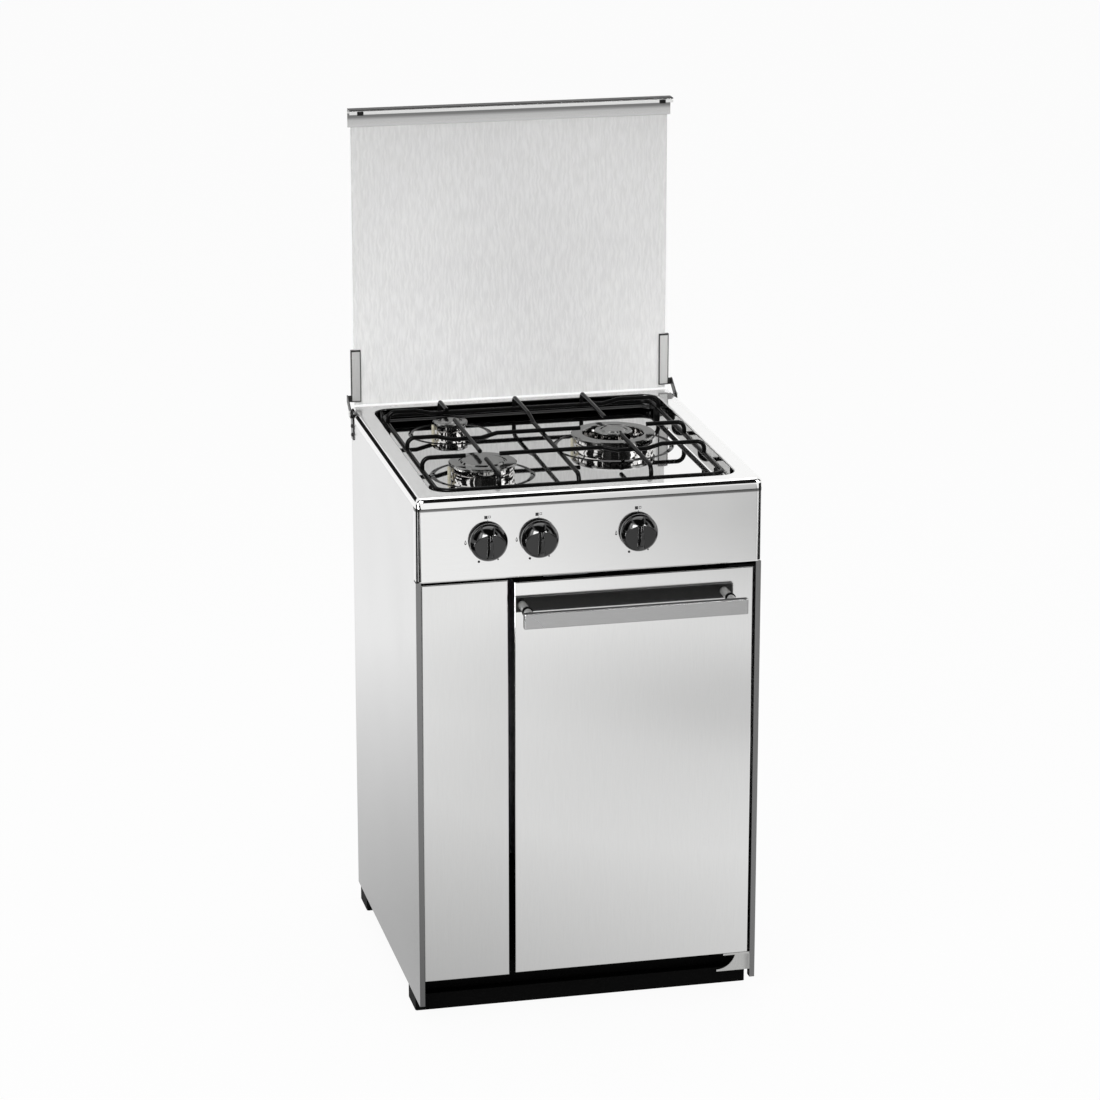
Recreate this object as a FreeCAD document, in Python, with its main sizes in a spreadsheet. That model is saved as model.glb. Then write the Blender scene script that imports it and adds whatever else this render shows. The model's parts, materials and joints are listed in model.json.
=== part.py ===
import FreeCAD, Part
import math
import os
import re
import Sketcher
from FreeCAD import Rotation, Vector

doc = FreeCAD.newDocument("gas_stove")

# Driving sizes in millimetres: name, value, what it is
SIZES = [
    ("body_width", 500, "outer faces of the side panels"),
    ("side_depth", 500, "side panels, front edge to back edge"),
    ("side_height", 748, "side panels, bottom edge to top edge"),
    ("side_fold", 7.5, "front fold of a side panel"),
    ("fold_return", 12, "depth of the returned edge behind a fold"),
    ("top_flange", 15, "inward flange that carries the hob"),
    ("steel", 1.2, "sheet thickness"),
    ("fit", 0.3, "gap between pieces that are slipped together"),
    ("running", 0.05, "radial clearance of a turning or sliding shaft"),
    ("foot_height", 25, "foot bars"),
    ("foot_depth", 56, "foot bars, front to back"),
    ("foot_front", 45, "front foot bar behind the front edge"),
    ("foot_back", 6, "rear foot bar before the back edge"),
    ("foot_inset", 2, "foot bar ends inside the side faces"),
    ("foot_round", 3, "foot bar corner radius"),
    ("base_level", 34, "base floor above the foot bars"),
    ("base_set", 16, "base flanges inside the edges of the foot bars"),
    ("vent_length", 90, "back panel vent"),
    ("vent_height", 6, "back panel vent"),
    ("vent_pitch", 22, "back panel vents"),
    ("panel_height", 107.5, "control panel"),
    ("panel_proud", 5, "control panel before the front edge"),
    ("panel_wrap", 12, "control panel round the corners"),
    ("panel_corner", 10, "control panel corner radius"),
    ("panel_edge", 3, "control panel lower edge radius"),
    ("shelf_drop", 3, "shelf below the control panel"),
    ("shelf_lip", 12, "shelf edge height"),
    ("door_width", 348, "door"),
    ("door_thick", 18, "door"),
    ("door_bottom", 65, "door above the floor"),
    ("door_top_gap", 8, "door below the control panel"),
    ("door_gap", 3.5, "door to the right-hand fold"),
    ("door_edge", 1.8, "rounded edge of a pressed front"),
    ("liner_depth", 4.5, "door liner"),
    ("door_clear", 0.5, "door to its brackets"),
    ("post_gap", 9, "door to the fixed panel"),
    ("fixed_depth", 16, "fixed panel returns"),
    ("fixed_drop", 2, "fixed panel below the foot of the door"),
    ("fixed_gap", 4, "fixed panel below the control panel"),
    ("door_pin", 4, "door pivot pin radius"),
    ("pin_inset", 9, "door pivot from the door's edge"),
    ("pin_depth", 7, "door pivot behind the door's face"),
    ("bush_wall", 1.5, "door bush"),
    ("bush_height", 14, "door bush"),
    ("pin_length", 15, "door pivot pin with its root in the plate"),
    ("bracket_plate", 3, "door bracket plate"),
    ("bracket_reach", 46, "door bracket across"),
    ("bracket_depth", 88, "door bracket front to back"),
    ("bracket_sweep", 60, "radius of the door bracket's curved edge"),
    ("bracket_tip", 12, "door bracket at its narrow ends"),
    ("gusset_drop", 29, "upright gusset under the lower door bracket"),
    ("gusset_foot", 53, "upright gusset at its foot"),
    ("curve_out", 22, "curved edge centre past the bracket"),
    ("handle_length", 324, "handle bar"),
    ("handle_height", 22.5, "handle bar"),
    ("handle_thick", 10, "handle bar"),
    ("handle_edge", 1.5, "handle bar edge radius"),
    ("handle_gap", 35, "handle bar to the door"),
    ("handle_drop", 45, "handle centre below the top of the door"),
    ("handle_side", 19.5, "handle end inside the hinge edge of the door"),
    ("post_radius", 6, "handle post"),
    ("post_inset", 14, "handle post from the end of the bar"),
    ("catch_width", 34, "door catch"),
    ("catch_height", 18, "door catch"),
    ("catch_depth", 15, "door catch"),
    ("catch_side", 12, "door catch inside the opening edge"),
    ("strike_plate", 0.8, "catch plate on the door"),
    ("strike_height", 10, "catch plate on the door"),
    ("hob_gap", 1.5, "control panel to the hob"),
    ("hob_front", 8, "hob before the front edge"),
    ("hob_rear", 20, "hob behind the back edge"),
    ("rim_height", 15, "hob rim"),
    ("rim_side", 30, "hob rim at the sides"),
    ("rim_front", 28, "hob rim at the front"),
    ("rim_rear", 30, "hob rim at the back"),
    ("hob_corner", 12, "hob corner radius"),
    ("hob_edge", 8, "hob rim rounding"),
    ("recess_depth", 18, "hob recess"),
    ("recess_corner", 26, "hob recess corner radius"),
    ("recess_edge", 5, "hob recess foot radius"),
    ("bead_width", 3, "half width of the pressed bead round a burner"),
    ("bead_height", 1.2, "pressed bead"),
    ("aux_bead", 59, "bead round the rear left burner"),
    ("rapid_bead", 72, "bead round the front left burner"),
    ("wok_bead", 86, "bead round the wok burner"),
    ("recess_lip", 2.4, "hob recess top edge radius"),
    ("support_wire", 3.5, "pan support ring wire radius"),
    ("finger_wire", 3.2, "pan support finger wire radius"),
    ("support_foot", 4, "pan support foot height"),
    ("support_pad", 5, "pan support foot radius"),
    ("support_front", 28, "pan support ring from the recess front"),
    ("support_rear", 16, "pan support ring from the recess back"),
    ("support_side", 12, "pan support ring from the recess side"),
    ("ring_bend", 20, "pan support ring corner radius"),
    ("wire_bend", 11, "pan support finger bend radius"),
    ("finger_rise", 22.5, "fingers above the ring"),
    ("weld_bite", 0.5, "depth of a crossing weld"),
    ("left_burner", 120, "left burners from the centre line"),
    ("wok_burner", 100, "wok burner from the centre line"),
    ("rapid_depth", 160, "front left burner behind the front edge"),
    ("wok_depth", 272, "wok burner behind the front edge"),
    ("aux_depth", 392, "rear left burner behind the front edge"),
    ("back_wire", 32, "rear cross wire behind the rear left burner"),
    ("wok_reach", 50, "fingers from the centre of the wok burner"),
    ("rapid_reach", 25, "fingers from the centre of the front left burner"),
    ("middle_wire", 5, "middle wire left of the centre line"),
    ("stub_end", 6, "rear left finger past the rear cross wire"),
    ("bar_rear", 34, "left bar before the centre of the rear left burner"),
    ("bar_front", 18, "left bar behind the centre of the front left burner"),
    ("dip_out", 45, "dip of a cross wire, outer bends from its middle"),
    ("dip_in", 22, "dip of a cross wire, inner bends from its middle"),
    ("slope_start", 50, "middle wire's slope before the rear cross wire"),
    ("slope_end", 90, "middle wire's slope before the rear cross wire"),
    ("pad_inset", 40, "pan support feet from the ring's corners"),
    ("cup_drop", 58, "burner cup below the recess floor"),
    ("holder_radius", 15, "injector holder"),
    ("holder_height", 24, "injector holder"),
    ("cup_bore", 6, "burner cup bore radius"),
    ("neck_inset", 8, "burner cup neck inside the crown"),
    ("neck_height", 12, "burner cup neck"),
    ("cup_flange", 2.5, "burner cup flange thickness"),
    ("port_width", 1.6, "flame port"),
    ("port_height", 4, "flame port"),
    ("cap_thick", 4, "burner cap"),
    ("cap_bevel", 1.2, "burner cap edge"),
    ("cap_lip", 3, "burner cap past the crown"),
    ("cap_dome", 1.4, "burner cap middle above its ring"),
    ("cap_groove", 1, "burner cap groove depth"),
    ("groove_width", 2.5, "burner cap groove"),
    ("aux_ring", 8, "rear left cap ring"),
    ("rapid_ring", 14, "front left cap ring"),
    ("core_ring", 7, "wok inner cap ring"),
    ("wok_ring", 17, "wok outer cap ring"),
    ("crown_wall", 11, "burner crown ring"),
    ("wok_wall", 14, "wok outer crown ring"),
    ("crown_step", 4, "foot of a burner crown"),
    ("crown_foot", 2, "crown foot inside its wall"),
    ("crown_height", 14, "burner crown"),
    ("aux_radius", 23, "rear left burner crown"),
    ("rapid_radius", 46, "front left burner crown"),
    ("wok_radius", 59, "wok burner outer crown"),
    ("wok_core", 25, "wok burner inner crown"),
    ("core_rise", 4, "wok inner crown above the outer one"),
    ("bridge_width", 9, "wok burner bridge"),
    ("bridge_height", 9, "wok burner bridge"),
    ("probe_radius", 2.4, "flame probe"),
    ("probe_gap", 0.6, "flame probe to the crown"),
    ("probe_height", 15, "flame probe above the recess floor"),
    ("knob_left", 148, "left knob from the centre line"),
    ("knob_middle", 75, "middle knob from the centre line"),
    ("knob_right", 68, "right knob from the centre line"),
    ("knob_drop", 51, "knob axis below the control panel's top"),
    ("knob_radius", 28, "knob"),
    ("knob_skirt", 5, "knob skirt edge"),
    ("knob_height", 23, "knob at the middle of its dome"),
    ("knob_floor", 12.5, "knob in its finger hollows"),
    ("hollow_radius", 26, "round top of the finger hollows"),
    ("hollow_drop", 12.5, "finger hollows' centre below the knob axis"),
    ("knob_gap", 4, "knob to the control panel"),
    ("grip_top", 4, "grip at its upper end"),
    ("grip_foot", 9, "grip at the knob's lower edge"),
    ("knob_travel", 3, "push travel of a knob"),
    ("spindle_radius", 4, "spindle"),
    ("spindle_hold", 10, "spindle inside the knob"),
    ("spindle_slot", 10, "spindle inside the tap plug"),
    ("slot_end", 2, "space for the spring behind the spindle"),
    ("spindle_clear", 1, "spindle in the front of the tap"),
    ("plug_radius", 7, "tap plug"),
    ("plug_length", 22, "tap plug"),
    ("plug_set", 8, "tap plug behind the front of the tap"),
    ("tap_width", 26, "tap body"),
    ("tap_length", 44, "tap body"),
    ("tap_drop", 15, "tap body below its axis"),
    ("tap_rise", 13, "tap body above its axis"),
    ("spindle_hole", 6, "control panel hole radius"),
    ("rail_radius", 8, "gas rail"),
    ("rail_bend", 30, "gas rail bend"),
    ("rail_side", 25, "gas rail from the side panel"),
    ("rail_end", 22, "gas rail past the last tap"),
    ("pipe_radius", 3, "burner pipe"),
    ("pipe_bend", 10, "burner pipe bend"),
    ("nozzle_radius", 5, "hose nozzle"),
    ("nozzle_length", 24, "hose nozzle"),
    ("nut_radius", 11, "hose nozzle nut"),
    ("nut_length", 10, "hose nozzle nut"),
    ("injector_radius", 4, "injector"),
    ("injector_height", 9, "injector"),
    ("injector_hex", 5.4, "injector below its cone"),
    ("lid_inset", 8, "lid sheet inside the side faces"),
    ("lid_top", 459, "top of the lid above its pivot"),
    ("lid_offset", 25, "lid sheet behind its pivot"),
    ("lid_gap", 2, "lid above the hob rim"),
    ("pivot_inset", 9, "lid pivot before the back edge"),
    ("pivot_drop", 5, "lid pivot below the hob rim"),
    ("lip_depth", 18, "lid lip, front to back"),
    ("lip_band", 28, "lid lip band"),
    ("lip_flange", 7, "lid lip flange"),
    ("lip_over", 4.5, "lid lip past the sheet"),
    ("lip_edge", 2.2, "lid lip front edge radius"),
    ("bumper_width", 9, "lid bumper"),
    ("bumper_height", 6, "lid bumper"),
    ("bumper_inset", 12, "lid bumper from the end of the lip"),
    ("clip_width", 15, "lid clip"),
    ("clip_height", 80, "lid clip"),
    ("clip_rise", 12, "lid clip above the pivot"),
    ("clip_wall", 2.3, "lid clip"),
    ("clip_over", 5, "lid clip past the sheet"),
    ("arm_plate", 1.5, "lid arm and hinge bracket plates"),
    ("arm_eye", 7, "lid arm eye radius"),
    ("arm_leg", 10, "lid arm leg"),
    ("arm_knee", 12.6, "lid arm leg at the eye"),
    ("lid_pin", 3, "lid pin radius"),
    ("pin_head", 5, "lid pin head radius"),
    ("hinge_drop", 38, "hinge bracket below the pivot"),
    ("hinge_tail", 12, "hinge bracket before the pivot"),
    ("hinge_foot", 14, "hinge bracket at its foot"),
]
NAMES = [name for name, value, note in SIZES]

sheet = doc.addObject("Spreadsheet::Sheet", "Sizes")
for row, (name, value, note) in enumerate(SIZES, 1):
    sheet.set("A%d" % row, note)
    sheet.set("B%d" % row, str(value))
    sheet.setAlias("B%d" % row, name)
doc.recompute()
mm = {name: float(sheet.get(name)) for name in NAMES}

# Places that many pieces share, as expressions of the driving sizes
SIDE = "body_width / 2"
FRONT = "(handle_gap + handle_thick - side_depth - hob_rear) / 2"
TOP = "foot_height + side_height"
RIM = "foot_height + side_height + rim_height"
PANEL_TOP = "foot_height + side_height - hob_gap"
PANEL_FOOT = "foot_height + side_height - hob_gap - panel_height"
FLOOR = "foot_height + side_height + rim_height - recess_depth"
BASE = "foot_height + base_level"
SHELF = "foot_height + side_height - hob_gap - panel_height - shelf_drop"
DOOR_RIGHT = "body_width / 2 - side_fold - door_gap"
DOOR_LEFT = "body_width / 2 - side_fold - door_gap - door_width"
DOOR_TOP = "foot_height + side_height - hob_gap - panel_height - door_top_gap"
DOOR_HEIGHT = DOOR_TOP + " - door_bottom"
AXIS = "foot_height + side_height - hob_gap - knob_drop"
PIVOT_Y = "side_depth - pivot_inset"
PIVOT_Z = "foot_height + side_height + rim_height - pivot_drop"
KNOB_BACK = "panel_proud + knob_gap"
RAIL_Z = AXIS + " - tap_drop - rail_radius"

TURNS = {
    "up": Rotation(),
    "right": Rotation(Vector(0, 1, 0), 90),
    "left": Rotation(Vector(0, 1, 0), -90),
    "back": Rotation(Vector(1, 0, 0), -90),
    "front": Rotation(Vector(1, 0, 0), 90),
}
nodes = []


def bound(text):
    def named(word):
        return "Sizes." + word.group() if word.group() in NAMES else word.group()

    return re.sub(r"[a-z_]+", named, text)


def bind(thing, prop, text):
    thing.setExpression(prop, bound(text))


def behind(text):
    return FRONT + " + " + text


def place(thing, at, turn="up"):
    thing.Placement.Rotation = TURNS[turn]
    for letter, text in zip("xyz", at):
        bind(thing, "Placement.Base." + letter, text)
    return thing


def node(thing, label):
    thing.Label = label
    nodes.append(thing)
    return thing


def box(name, at, dims):
    block = doc.addObject("Part::Box", name)
    for prop, text in zip(("Length", "Width", "Height"), dims):
        bind(block, prop, text)
    return place(block, at)


def rod(name, at, radius, length, turn="up"):
    cylinder = doc.addObject("Part::Cylinder", name)
    bind(cylinder, "Radius", radius)
    bind(cylinder, "Height", length)
    return place(cylinder, at, turn)


def fuse(name, pieces):
    joined = doc.addObject("Part::MultiFuse", name)
    joined.Shapes = pieces
    joined.Refine = True
    return joined


def cut(name, base, tools):
    rest = doc.addObject("Part::Cut", name)
    rest.Base = base
    rest.Tool = tools[0] if len(tools) == 1 else fuse(name + "_tools", tools)
    return rest


def group(name, pieces):
    several = doc.addObject("Part::Compound", name)
    several.Links = pieces
    return several


def rounded(name, base, radius_of):
    doc.recompute()
    soft = doc.addObject("Part::Fillet", name)
    soft.Base = base
    radii = [(number, radius_of(edge)) for number, edge in enumerate(base.Shape.Edges, 1)]
    soft.Edges = [(number, radius, radius) for number, radius in radii if radius]
    return soft


def upright(edge):
    return abs(edge.tangentAt(edge.FirstParameter).z) > 0.99


def level(edge, z):
    box_of_edge = edge.BoundBox
    return abs(box_of_edge.ZMin - z) < 0.01 and abs(box_of_edge.ZMax - z) < 0.01


def outline(body, plane, points):
    sketch = body.newObject("Sketcher::SketchObject", body.Name + "_outline")
    sketch.AttachmentSupport = [(item, "") for item in body.Origin.OriginFeatures if item.Role == plane]
    sketch.MapMode = "FlatFace"
    count = len(points)
    turns = [2 * math.pi * number / count for number in range(count)]
    rough = [Vector(150 + 100 * math.cos(turn), 150 + 100 * math.sin(turn), 0) for turn in turns]
    for number in range(count):
        sketch.addGeometry(Part.LineSegment(rough[number], rough[(number + 1) % count]), False)
    for number in range(count):
        sketch.addConstraint(Sketcher.Constraint("Coincident", number, 2, (number + 1) % count, 1))
    for number, point in enumerate(points):
        for kind, axis, text, start in zip(("DistanceX", "DistanceY"), (-2, -1), point, rough[number]):
            if text == "0":
                sketch.addConstraint(Sketcher.Constraint("PointOnObject", number, 1, axis))
            else:
                index = sketch.addConstraint(Sketcher.Constraint(kind, -1, 1, number, 1, start))
                bind(sketch, "Constraints[%d]" % index, text)
    return sketch


def turned(name, at, profile, turn="up"):
    body = doc.addObject("PartDesign::Body", name)
    sketch = outline(body, "XZ_Plane", profile)
    revolution = body.newObject("PartDesign::Revolution", name + "_turn")
    revolution.Profile = sketch
    revolution.ReferenceAxis = (sketch, ["V_Axis"])
    revolution.Angle = 360
    return place(body, at, turn)


def plate(name, at, plane, points, thick):
    body = doc.addObject("PartDesign::Body", name)
    sketch = outline(body, plane, points)
    pad = body.newObject("PartDesign::Pad", name + "_pad")
    pad.Profile = sketch
    pad.Reversed = plane == "XZ_Plane"
    bind(pad, "Length", thick)
    return place(body, at)


def path(points, bend):
    corners = [Vector(*point) for point in points]
    edges = []
    start = corners[0]
    for before, corner, after in zip(corners, corners[1:], corners[2:]):
        to_start = (before - corner).normalize()
        to_end = (after - corner).normalize()
        half = to_start.getAngle(to_end) / 2
        reach = bend / math.tan(half)
        middle = corner + (to_start + to_end).normalize() * (bend / math.sin(half) - bend)
        enter = corner + to_start * reach
        leave = corner + to_end * reach
        edges.append(Part.LineSegment(start, enter).toShape())
        edges.append(Part.Arc(enter, middle, leave).toShape())
        start = leave
    edges.append(Part.LineSegment(start, corners[-1]).toShape())
    return Part.Wire(edges)


def tube(points, bend, radius):
    spine = path(points, bend)
    along = Vector(*points[1]) - Vector(*points[0])
    circle = Part.Wire(Part.makeCircle(radius, Vector(*points[0]), along))
    return spine.makePipe(Part.Face(circle))


def solid(name, shape):
    feature = doc.addObject("Part::Feature", name)
    feature.Shape = shape
    return feature


# Cabinet
BACK_FACE = "side_depth - foot_back - base_set"
INNER = "body_width - 2 * steel"
FRONT_HEIGHT = "side_height - hob_gap - panel_height"


def from_face(side, width, inset="0"):
    if side == "left":
        return "-body_width / 2 + " + inset
    return "body_width / 2 - " + width + " - (" + inset + ")"


for side in ("left", "right"):
    wall = plate(side + "_wall", (from_face(side, "steel"), FRONT, "foot_height"), "YZ_Plane", [
        ("0", "0"), ("side_depth", "0"), ("side_depth", "side_height"), ("panel_wrap", "side_height"),
        ("panel_wrap", FRONT_HEIGHT), ("0", FRONT_HEIGHT)], "steel")
    fold = box(side + "_fold", (from_face(side, "side_fold"), FRONT, "foot_height"),
               ("side_fold", "steel", FRONT_HEIGHT))
    hem = box(side + "_hem", (from_face(side, "steel", "side_fold - steel"), FRONT, "foot_height"),
              ("steel", "fold_return", FRONT_HEIGHT))
    ledge = box(side + "_ledge", (from_face(side, "top_flange"), behind("panel_wrap"), TOP + " - steel"),
                ("top_flange", "side_depth - panel_wrap", "steel"))
    rear = box(side + "_rear_fold",
               (from_face(side, "side_fold"), behind("side_depth - steel"), "foot_height"),
               ("side_fold", "steel", "side_height"))
    node(fuse(side + "_panel_sheet", [wall, fold, hem, ledge, rear]), side + "_side_panel")

for end, start in (("front", "foot_front"), ("rear", "side_depth - foot_back - foot_depth")):
    bar = box(end + "_bar", ("-body_width / 2 + foot_inset", behind(start), "0"),
              ("body_width - 2 * foot_inset", "foot_depth", "foot_height"))
    soft_bar = rounded(end + "_bar_soft", bar, lambda edge: mm["foot_round"] if upright(edge) else 0)
    node(soft_bar, end + "_foot")


def tray(name, at, dims, hollow_at, hollow_dims, radius_of=None):
    outside = box(name + "_block", at, dims)
    if radius_of:
        outside = rounded(name + "_soft", outside, radius_of)
    return cut(name + "_sheet", outside, [box(name + "_hollow", hollow_at, hollow_dims)])


BASE_FRONT = "foot_front + base_set"
node(tray("base",
          ("-body_width / 2 + steel", behind(BASE_FRONT), "foot_height"),
          (INNER, BACK_FACE + " - (" + BASE_FRONT + ")", "base_level"),
          ("-body_width / 2 + 2 * steel", behind(BASE_FRONT + " + steel"), "foot_height"),
          (INNER + " - 2 * steel", BACK_FACE + " - (" + BASE_FRONT + ") - 2 * steel", "base_level - steel")),
     "base_pan")

SHELF_FRONT = "door_thick + strike_plate + fit"
node(tray("shelf",
          ("-body_width / 2 + steel", behind(SHELF_FRONT), SHELF + " - steel"),
          (INNER, BACK_FACE + " - (" + SHELF_FRONT + ")", "shelf_lip"),
          ("-body_width / 2 + 2 * steel", behind(SHELF_FRONT + " + steel"), SHELF),
          (INNER + " - 2 * steel", BACK_FACE + " - (" + SHELF_FRONT + ") - 2 * steel", "shelf_lip")),
     "tap_shelf")

BACK_TOP = FLOOR + " - steel - fit"
back_sheet = box("back_sheet", ("-body_width / 2 + steel", behind(BACK_FACE), "foot_height"),
                 (INNER, "steel", BACK_TOP + " - foot_height"))
openings = [rod("hose_hole", ("-body_width / 2 + rail_side", behind(BACK_FACE), RAIL_Z),
                "rail_radius + fit", "steel", "back")]
for row in range(6):
    for column, offset in (("left", "-vent_length - vent_pitch"), ("right", "vent_pitch")):
        openings.append(box("vent_%s_%d" % (column, row),
                            (offset, behind(BACK_FACE), BASE + " + vent_pitch * %d" % (row + 2)),
                            ("vent_length", "steel", "vent_height")))
        openings.append(box("high_vent_%s_%d" % (column, row),
                            (offset, behind(BACK_FACE), SHELF + " - vent_pitch * %d" % (row + 2)),
                            ("vent_length", "steel", "vent_height")))
node(cut("back_sheet_cut", back_sheet, openings), "back_panel")


def front_edge(depth):
    y = (mm["handle_gap"] + mm["handle_thick"] - mm["side_depth"] - mm["hob_rear"]) / 2 + depth
    return lambda edge: mm["door_edge"] if abs(edge.BoundBox.YMax - y) < 0.01 else 0


FIXED_LEFT = "-body_width / 2 + side_fold + fit"
FIXED_WIDTH = "body_width - 2 * side_fold - fit - door_gap - door_width - post_gap"
FIXED_FOOT = "door_bottom - fixed_drop"
FIXED_HEIGHT = PANEL_FOOT + " - fixed_gap - door_bottom + fixed_drop"
node(tray("fixed",
          (FIXED_LEFT, FRONT, FIXED_FOOT), (FIXED_WIDTH, "fixed_depth", FIXED_HEIGHT),
          (FIXED_LEFT + " + steel", behind("steel"), FIXED_FOOT + " + steel"),
          (FIXED_WIDTH + " - 2 * steel", "fixed_depth", FIXED_HEIGHT + " - 2 * steel"), front_edge(0)),
     "left_front_panel")

# Control panel, a pressed tray with round corners
KNOBS = (("rapid", "-knob_left"), ("aux", "-knob_middle"), ("wok", "knob_right"))


def front_corner(proud, radius):
    y = (mm["handle_gap"] + mm["handle_thick"] - mm["side_depth"] - mm["hob_rear"]) / 2 - proud
    return lambda edge: radius if upright(edge) and abs(edge.BoundBox.YMax - y) < 0.01 else 0


def lower_edge(proud, z, radius):
    y = (mm["handle_gap"] + mm["handle_thick"] - mm["side_depth"] - mm["hob_rear"]) / 2 - proud
    depth = proud + mm["panel_wrap"]
    return lambda edge: radius if level(edge, z) and edge.BoundBox.YMin < y + depth - 0.01 else 0


panel_foot = mm["foot_height"] + mm["side_height"] - mm["hob_gap"] - mm["panel_height"]
panel_block = rounded("panel_soft", box(
    "panel_block", ("-body_width / 2", behind("-panel_proud"), PANEL_FOOT),
    ("body_width", "panel_proud + panel_wrap", "panel_height")),
    front_corner(mm["panel_proud"], mm["panel_corner"]))
panel_hollow = rounded("panel_hollow_soft", box(
    "panel_hollow", ("-body_width / 2 + steel", behind("steel - panel_proud"), PANEL_FOOT + " + steel"),
    (INNER, "panel_proud + panel_wrap", "panel_height - 2 * steel")),
    front_corner(mm["panel_proud"] - mm["steel"], mm["panel_corner"] - mm["steel"]))
panel_holes = [rod(burner + "_spindle_hole", (x, behind("-panel_proud"), AXIS),
                   "spindle_hole", "steel", "back") for burner, x in KNOBS]
panel_front = rounded("panel_pressed", panel_block, lower_edge(
    mm["panel_proud"], panel_foot, mm["panel_edge"]))
panel_inside = rounded("panel_hollow_pressed", panel_hollow, lower_edge(
    mm["panel_proud"] - mm["steel"], panel_foot + mm["steel"], mm["panel_edge"] - mm["steel"]))
node(cut("panel_sheet", panel_front, [panel_inside] + panel_holes), "control_panel")

# Door
HANDLE_Z = DOOR_TOP + " - handle_drop"
PIN_X = DOOR_RIGHT + " - pin_inset"
BUSH = "door_pin + running + bush_wall"
skin = tray("door",
            (DOOR_LEFT, FRONT, "door_bottom"), ("door_width", "door_thick", DOOR_HEIGHT),
            (DOOR_LEFT + " + steel", behind("steel"), "door_bottom + steel"),
            ("door_width - 2 * steel", "door_thick", DOOR_HEIGHT + " - 2 * steel"), front_edge(0))
bush_holes = [rod("bush_hole_" + end, (PIN_X, behind("pin_depth"), z), BUSH, "steel")
              for end, z in (("low", "door_bottom"), ("high", DOOR_TOP + " - steel"))]
node(cut("door_skin_cut", skin, bush_holes), "door_skin")
node(tray("liner",
          (DOOR_LEFT + " + steel + fit", behind("door_thick - liner_depth"), "door_bottom + steel + fit"),
          ("door_width - 2 * steel - 2 * fit", "liner_depth", DOOR_HEIGHT + " - 2 * steel - 2 * fit"),
          (DOOR_LEFT + " + 2 * steel + fit", behind("door_thick - liner_depth"),
           "door_bottom + 2 * steel + fit"),
          ("door_width - 4 * steel - 2 * fit", "liner_depth - steel",
           DOOR_HEIGHT + " - 4 * steel - 2 * fit")),
     "door_liner")
bushes = [turned("bush_" + end, (PIN_X, behind("pin_depth"), z), [
    ("door_pin + running", "0"), (BUSH, "0"), (BUSH, "bush_height"), ("door_pin + running", "bush_height")])
    for end, z in (("low", "door_bottom"), ("high", DOOR_TOP + " - bush_height"))]
node(group("bush_pair", bushes), "door_bushes")

HANDLE_X = DOOR_RIGHT + " - handle_side - handle_length"
bar = box("handle_block",
          (HANDLE_X, behind("-handle_gap - handle_thick"), HANDLE_Z + " - handle_height / 2"),
          ("handle_length", "handle_thick", "handle_height"))
node(rounded("handle_soft", bar, lambda edge: mm["handle_edge"]), "handle_bar")
posts = [rod("post_" + end, (x, FRONT, HANDLE_Z), "post_radius", "handle_gap", "front")
         for end, x in (("left", HANDLE_X + " + post_inset"),
                        ("right", HANDLE_X + " + handle_length - post_inset"))]
node(group("post_pair", posts), "handle_posts")

CATCH_X = DOOR_LEFT + " + catch_side"
CATCH_Z = SHELF + " - steel - catch_height"
node(box("catch_block", (CATCH_X, behind(SHELF_FRONT), CATCH_Z),
         ("catch_width", "catch_depth", "catch_height")), "door_catch")
node(box("strike", (CATCH_X, behind("door_thick"), CATCH_Z),
         ("catch_width", "strike_plate", "strike_height")), "catch_plate")

# Door brackets: a gusset with a hollow edge and a pivot pin
GUSSET = [("0", "0"), ("bracket_reach + steel - side_fold - fit", "0"),
          ("bracket_reach + steel - side_fold - fit", "fold_return"), ("bracket_reach", "fold_return"),
          ("bracket_reach", "bracket_depth"), ("bracket_reach - bracket_tip", "bracket_depth"),
          ("0", "bracket_tip")]
LOW_PLATE = "door_bottom - door_clear - bracket_plate"
for end, z, pin_z in (("bottom", LOW_PLATE, LOW_PLATE),
                      ("top", DOOR_TOP + " + door_clear",
                       DOOR_TOP + " - pin_length + bracket_plate + door_clear")):
    corner = (SIDE + " - steel - bracket_reach", behind("steel + fit"), z)
    gusset = plate(end + "_gusset", corner, "XY_Plane", GUSSET, "bracket_plate")
    curve = rod(end + "_curve", (SIDE + " - steel - bracket_reach - curve_out",
                                 behind("steel + fit + bracket_sweep + bracket_tip"), z),
                "bracket_sweep", "bracket_plate")
    pieces = [cut(end + "_gusset_cut", gusset, [curve]),
              rod(end + "_pin", (PIN_X, behind("pin_depth"), pin_z), "door_pin", "pin_length")]
    if end == "bottom":
        foot_x = SIDE + " - steel - gusset_foot"
        leg = box("bottom_leg", (foot_x, behind("fold_return + fit"), LOW_PLATE + " - gusset_drop"),
                  ("gusset_foot", "steel", "gusset_drop + bracket_plate"))
        curve_spot = (foot_x, behind("fold_return + fit"), LOW_PLATE + " + bracket_plate")
        hollow = rod("bottom_leg_curve", curve_spot, "gusset_drop", "steel", "back")
        pieces.append(cut("bottom_leg_cut", leg, [hollow]))
    node(fuse(end + "_bracket_piece", pieces), "door_" + end + "_bracket")

# Hob: a raised rim round a pressed recess
front_y = (mm["handle_gap"] + mm["handle_thick"] - mm["side_depth"] - mm["hob_rear"]) / 2
top_z = mm["foot_height"] + mm["side_height"]
rim_z = top_z + mm["rim_height"]
floor_z = rim_z - mm["recess_depth"]
recess_x = mm["body_width"] / 2 - mm["rim_side"]
recess_near = front_y - mm["hob_front"] + mm["rim_front"]
recess_far = front_y + mm["side_depth"] + mm["hob_rear"] - mm["rim_rear"]


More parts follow.
